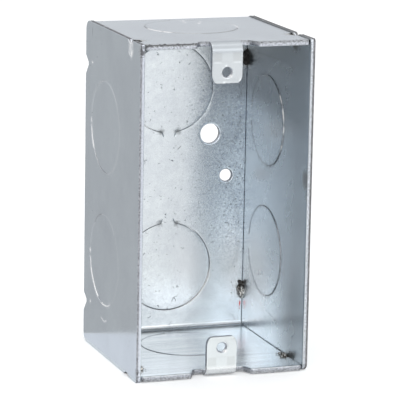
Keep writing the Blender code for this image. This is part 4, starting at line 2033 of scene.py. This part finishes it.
@dataclass(frozen=True)
class CutFinish:
    """Bare cut edge: a bright band where the blade slid, and a torn dull one."""

    name: str
    bright: Colour
    torn: Colour
    grit: float = 1.0

    def material(self, effects: ZincEffects) -> bpy.types.Material:
        """Builds the material from the position across the sheet.

        Args:
            effects: The shared shader groups.

        Returns:
            The finished material.
        """
        material, net, inputs = new_material(self.name)
        place, painted_gleam = net.place(), net.mark("painted_gleam")
        soot = net.group(effects.soot, {"Position": place, "Amount": net.mark("soot")})
        wander = net.centred(net.grain(place, 0.0016, 4.0, 0.7))
        band = net.spread(net.scaled(wander, 0.5, net.mark("torn")), 0.40, 0.58)
        grit = net.grain(place, 0.0005, 3.0, 0.7)
        grit_share = net.spread(grit, 0.40, 0.60)
        low = tuple(c * 0.62 for c in self.torn) + (1.0,)
        high = tuple(min(1.0, c * 1.25) for c in self.torn) + (1.0,)
        scuffed = tuple(c * (1.0 - 0.32 * self.grit) for c in self.bright) + (1.0,)
        polished_and_painted_glints = tuple(min(1.0, c * (1.0 + 0.22 * self.grit)) for c in self.bright) + (1.0,)
        torn = net.blend(grit_share, low, high)
        colour = net.blend(band, net.blend(grit_share, scuffed, polished_and_painted_glints), torn)
        jagged = net.centred(net.grain(place, 0.0009, 4.0, 0.7))
        grimy = net.spread(net.scaled(jagged, 2.2, net.mark("dirt")), 0.42, 0.66)
        colour = net.tinted(colour, grimy, 0.86, (0.085, 0.085, 0.09))
        colour = net.tinted(colour, soot["Mask"], 0.85, (0.05, 0.045, 0.04))
        # Painted highlights in white.
        colour = net.tinted(colour, painted_gleam, 1.0, WHITE)
        dull = net.math("MAXIMUM", painted_gleam, net.times(grimy, 0.9))
        rough = net.scaled(grimy, 0.4, net.spread(band, 0.0, 1.0, 0.36, 0.55))
        net.feed(colour, inputs["Base Color"])
        net.feed(net.math("SUBTRACT", 0.9, dull), inputs["Metallic"])
        net.feed(rough, inputs["Roughness"])
        net.feed(net.bump(net.times(grit, band), 0.5, 0.0003), inputs["Normal"])
        return material


@dataclass(frozen=True)
class WeldFinish:
    """Burnt weld metal: black crust with bright beads showing through."""

    name: str = "burnt_weld"

    def material(self) -> bpy.types.Material:
        """Builds the material.

        Returns:
            The finished material.
        """
        material, net, inputs = new_material(self.name)
        place = net.place()
        crust = net.grain(place, 0.0007, 4.0, 0.65)
        bare_metal_and_painted_light = net.spread(net.scaled(net.mark("burn"), -0.32, crust), 0.42, 0.48)
        colour = net.blend(bare_metal_and_painted_light, (0.038, 0.034, 0.030, 1.0), (0.72, 0.71, 0.68, 1.0))
        rust = net.spread(net.grain(place, 0.0017, 3.0), 0.55, 0.75)
        net.feed(net.tinted(colour, rust, 0.35, (0.20, 0.13, 0.07)), inputs["Base Color"])
        net.feed(net.spread(bare_metal_and_painted_light, 0.0, 1.0, 0.15, 1.0), inputs["Metallic"])
        net.feed(net.spread(bare_metal_and_painted_light, 0.0, 1.0, 0.6, 0.2), inputs["Roughness"])
        net.feed(net.bump(crust, 0.5, 0.0003), inputs["Normal"])
        return material


@dataclass(frozen=True)
class PhotographCamera:
    """The photograph's camera, in millimetres and degrees, for a picture 400 pixels wide."""

    place: Triple = (-271.8, -800.8, 168.1)
    azimuth: float = -19.459
    elevation: float = 11.712
    roll: float = 1.036
    focal_pixels: float = 2741.7
    picture_pixels: float = 400.0
    sensor: float = 36.0

    def build(self) -> bpy.types.Object:
        """Puts the camera in the scene.

        Returns:
            The camera.
        """
        data = bpy.data.cameras.new("photograph_camera")
        data.sensor_width = self.sensor
        data.lens = self.focal_pixels * self.sensor / self.picture_pixels
        data.clip_start = 0.01
        data.clip_end = 100.0
        camera = bpy.data.objects.new("photograph_camera", data)
        turn, tilt = math.radians(self.azimuth), math.radians(self.elevation)
        back = Vector((math.sin(turn) * math.cos(tilt), -math.cos(turn) * math.cos(tilt), math.sin(tilt)))
        right = (-back).cross(Vector((0.0, 0.0, 1.0))).normalized()
        up = back.cross(right)
        roll = Matrix.Rotation(math.radians(self.roll), 3, back)
        axes = Matrix((roll @ right, roll @ up, back)).transposed()
        camera.matrix_world = Matrix.Translation([c * MM for c in self.place]) @ axes.to_4x4()
        bpy.context.scene.collection.objects.link(camera)
        bpy.context.scene.camera = camera
        return camera


@dataclass(frozen=True)
class SoftBox:
    """A rectangular lamp that faces the middle of the box, in metres."""

    name: str
    place: Triple
    size: tuple[float, float]
    radiance: float
    colour: Colour = WHITE

    def build(self) -> bpy.types.Object:
        """Hangs the lamp.

        Returns:
            The lamp.
        """
        data = bpy.data.lights.new(self.name, "AREA")
        data.shape = "RECTANGLE"
        data.size, data.size_y = self.size
        data.energy = self.radiance * math.pi * self.size[0] * self.size[1]
        data.color = self.colour
        lamp = bpy.data.objects.new(self.name, data)
        lamp.location = self.place
        lamp.rotation_euler = (-Vector(self.place)).to_track_quat("-Z", "Y").to_euler()
        lamp.visible_camera = False
        bpy.context.scene.collection.objects.link(lamp)
        return lamp


@dataclass(frozen=True)
class Card:
    """A studio card that only reflections see, lying flat or standing, in metres.

    Its grey may change with its place along Y, from stop to stop.
    """

    name: str
    corners: tuple[Triple, ...]
    stops: tuple[tuple[float, Colour], ...]

    def build(self) -> bpy.types.Object:
        """Makes the card as one face with a plain glow of its own grey.

        Returns:
            The card.
        """
        mesh = bpy.data.meshes.new(self.name)
        mesh.from_pydata([list(c) for c in self.corners], [], [list(range(len(self.corners)))])
        material, net, inputs = new_material(self.name)
        inputs["Base Color"].default_value = (0.0, 0.0, 0.0, 1.0)
        inputs["Specular IOR Level"].default_value = 0.0
        inputs["Roughness"].default_value = 1.0
        depth = net.add("ShaderNodeSeparateXYZ", {0: net.place()}).outputs[1]
        grey: Any = self.stops[0][1] + (1.0,)
        for (start, _), (end, tone) in zip(self.stops, self.stops[1:]):
            grey = net.blend(net.spread(depth, start, end), grey, tone + (1.0,))
        net.feed(grey, inputs["Emission Color"])
        inputs["Emission Strength"].default_value = 1.0
        mesh.materials.append(material)
        card = bpy.data.objects.new(self.name, mesh)
        card.visible_camera = False
        card.visible_diffuse = False
        card.visible_shadow = False
        bpy.context.scene.collection.objects.link(card)
        return card


BEHIND_OUTLINE = (
    (-0.9, -0.0146),
    (-0.10, -0.0146),
    (-0.02, 0.0077),
    (0.4, 0.0077),
    (0.4, 2.4),
    (-0.9, 2.4),
)
LEFT_OUTLINE = ((-0.5, -0.12), (-0.0275, -0.12), (-0.0275, 0.005), (-0.10, -0.0150), (-0.5, -0.0150))
FRONT_OUTLINE = (
    (0.024, -0.056),
    (-0.0275, -0.056),
    (-0.0275, -0.1205),
    (-0.05, -0.122),
    (-1.4, -1.8),
    (-0.08, -1.8),
)
FRONT_GREYS = (
    (-0.60, (0.20, 0.21, 0.22)),
    (-0.36, (0.20, 0.21, 0.22)),
    (-0.31, (0.72, 0.76, 0.79)),
    (-0.17, (0.86, 0.90, 0.92)),
    (-0.11, (1.28, 1.30, 1.28)),
)


@dataclass
class Studio:
    """Pale floor, white surround, soft lamps and reflection cards."""

    floor_height: float
    floor_size: float = 8.0
    surround: float = 1.0
    diffuse_surround: float = 0.9
    card_lift: float = 0.0006

    def build(self) -> None:
        """Sets the world, the floor, the lamps and the cards."""
        self.world()
        self.floor()
        behind, above, beside = (0.49, 0.50, 0.515), (0.66, 0.68, 0.715), (0.75, 0.775, 0.83)
        parts = [
            SoftBox("camera_softbox", (-0.24, -0.72, 0.155), (0.44, 0.30), 1.35, (1.0, 0.98, 0.95)),
            SoftBox("right_softbox", (0.30, -0.80, 0.18), (0.50, 0.32), 0.86, (0.98, 0.99, 1.0)),
            SoftBox("overhead_softbox", (-0.15, -0.25, 0.80), (0.70, 0.60), 1.2),
            Card("grey_card_behind", self.on_floor(BEHIND_OUTLINE), ((0.0, behind),)),
            Card("lavender_card_left", self.on_floor(LEFT_OUTLINE), ((0.0, beside),)),
            Card("fading_card_front", self.on_floor(FRONT_OUTLINE), FRONT_GREYS),
            Card(
                "grey_card_above",
                ((-1.2, 1.3, 0.06), (2.2, 1.3, 0.06), (2.2, 1.3, 1.3), (-1.2, 1.3, 1.3)),
                ((0.0, above),),
            ),
        ]
        for part in parts:
            part.build()

    def on_floor(self, outline: tuple[tuple[float, float], ...]) -> tuple[Triple, ...]:
        """Corners of a card that lies just above the floor."""
        return tuple((x, y, self.floor_height + self.card_lift) for x, y in outline)

    def world(self) -> None:
        """White for what sees the backdrop, and a softer light on matt surfaces."""
        world = bpy.data.worlds.new("white_surround")
        world.use_nodes = True
        bpy.context.scene.world = world
        net = Wiring(world.node_tree)
        output = world.node_tree.nodes["World Output"]
        seen = world.node_tree.nodes["Background"]
        seen.inputs["Color"].default_value = WHITE + (1.0,)
        seen.inputs["Strength"].default_value = self.surround
        matt = {"Color": WHITE + (1.0,), "Strength": self.diffuse_surround}
        lit = net.add("ShaderNodeBackground", matt)
        path = net.add("ShaderNodeLightPath")
        sees = net.math("MAXIMUM", path.outputs["Is Camera Ray"], path.outputs["Is Glossy Ray"])
        sees = net.math("MAXIMUM", sees, path.outputs["Is Transmission Ray"])
        mix = net.add("ShaderNodeMixShader", {0: sees, 1: lit.outputs[0], 2: seen.outputs[0]})
        net.feed(mix.outputs[0], output.inputs["Surface"])

    def floor(self) -> None:
        """A pale floor that turns white for the camera and keeps the box's shadow."""
        mesh = bpy.data.meshes.new("studio_floor")
        half = self.floor_size / 2
        corners = [(-half, -half), (half, -half), (half, half), (-half, half)]
        mesh.from_pydata([(x, y, self.floor_height) for x, y in corners], [], [(0, 1, 2, 3)])
        material, net, inputs = new_material("pale_floor")
        inputs["Base Color"].default_value = (0.86, 0.87, 0.88, 1.0)
        inputs["Roughness"].default_value = 0.9
        inputs["Specular IOR Level"].default_value = 0.0
        inputs["Emission Color"].default_value = WHITE + (1.0,)
        path = net.add("ShaderNodeLightPath")
        sees = net.math("MAXIMUM", path.outputs["Is Camera Ray"], path.outputs["Is Transmission Ray"])
        net.feed(net.times(sees, 0.25), inputs["Emission Strength"])
        mesh.materials.append(material)
        floor = bpy.data.objects.new("studio_floor", mesh)
        bpy.context.scene.collection.objects.link(floor)


RED = (0.65, 0.05, 0.03)
STRIP_SCRATCHES = (
    Scratch((7.5, -1.6, 34.6), (8.8, -1.6, 35.9), 0.20, 0.7),
    Scratch((6.0, -1.6, 33.0), (7.5, -1.6, 34.6), 0.12, 0.3),
    Scratch((1.9, -1.6, 8.1), (3.8, -1.6, 9.9), 0.20, 0.7),
    Scratch((-6.3, -1.6, -34.8), (-5.6, -1.6, -35.5), 0.20, 0.6),
    Scratch((-3.7, -1.6, -36.3), (-3.5, -1.6, -36.5), 0.34, 0.9),
    Scratch((21.3, -1.6, -40.3), (22.0, -1.6, -39.5), 0.30, 0.9),
    Scratch((24.66, -1.75, -41.0), (24.62, -1.75, -43.6), 0.42, 0.95, RED),
)
PLATE_SCRATCHES = (
    Scratch((25.4, -1.3, 40.3), (25.4, -51.2, 41.4), 0.24, 0.8),
    Scratch((25.4, -2.9, -36.1), (25.4, -34.4, -40.9), 0.18, 0.7),
    Scratch((-27.0, -6.5, 49.0), (-27.0, -6.6, 46.6), 0.20, 0.6),
)


def main() -> None:
    """Builds the box's looks, the studio and the camera, in order."""
    logging.basicConfig(level=logging.INFO, format="%(name)s %(message)s")
    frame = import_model()
    LOG.info("frame: %d nodes", len(frame["nodes"]))
    bpy.context.scene.view_settings.view_transform = "Standard"
    box = BoxSizes.from_frame()
    welds = [WeldSpot.from_frame(node) for node in WELD_LOOKS]
    effects = ZincEffects()
    strip_finish = ZincFinish("strip_zinc", (0.745, 0.785, 0.86), 0.22, 0, scratches=STRIP_SCRATCHES)
    plate_finish = ZincFinish(
        "plate_zinc", (0.70, 0.755, 0.83), 0.15, 2, bump=0.07, scratches=PLATE_SCRATCHES
    )
    strip_material = strip_finish.material(effects)
    plate_material = plate_finish.material(effects)
    strip_cut = CutFinish("strip_edge", (0.50, 0.52, 0.57), (0.44, 0.455, 0.48)).material(effects)
    cut_finish = CutFinish("sheared_edge", (0.62, 0.65, 0.72), (0.36, 0.37, 0.40), grit=0.3)
    cut_material = cut_finish.material(effects)
    torn_material = CutFinish("torn_edge", (0.66, 0.69, 0.74), (0.24, 0.24, 0.25)).material(effects)
    FoldedStrip(box, welds).build([strip_material, strip_cut])
    for node, side, lower in (("left_side_plate", -1, 0.8), ("right_side_plate", 1, 2.4)):
        own = [w for w in welds if w.side == side]
        name = node.replace("_side", "") + "_sheet"
        plate = SidePlate(box, own, side, name, (node,), lower_front_corner=lower)
        plate.build([plate_material, torn_material if side > 0 else cut_material])
    weld_material = WeldFinish().material()
    for seed, weld in enumerate(welds):
        WeldLump(weld, seed + 11, WELD_LOOKS[weld.node], box).build(weld_material)
    Studio(floor_height=-box.height / 2 * MM).build()
    PhotographCamera().build()


if __name__ == "__main__":
    main()
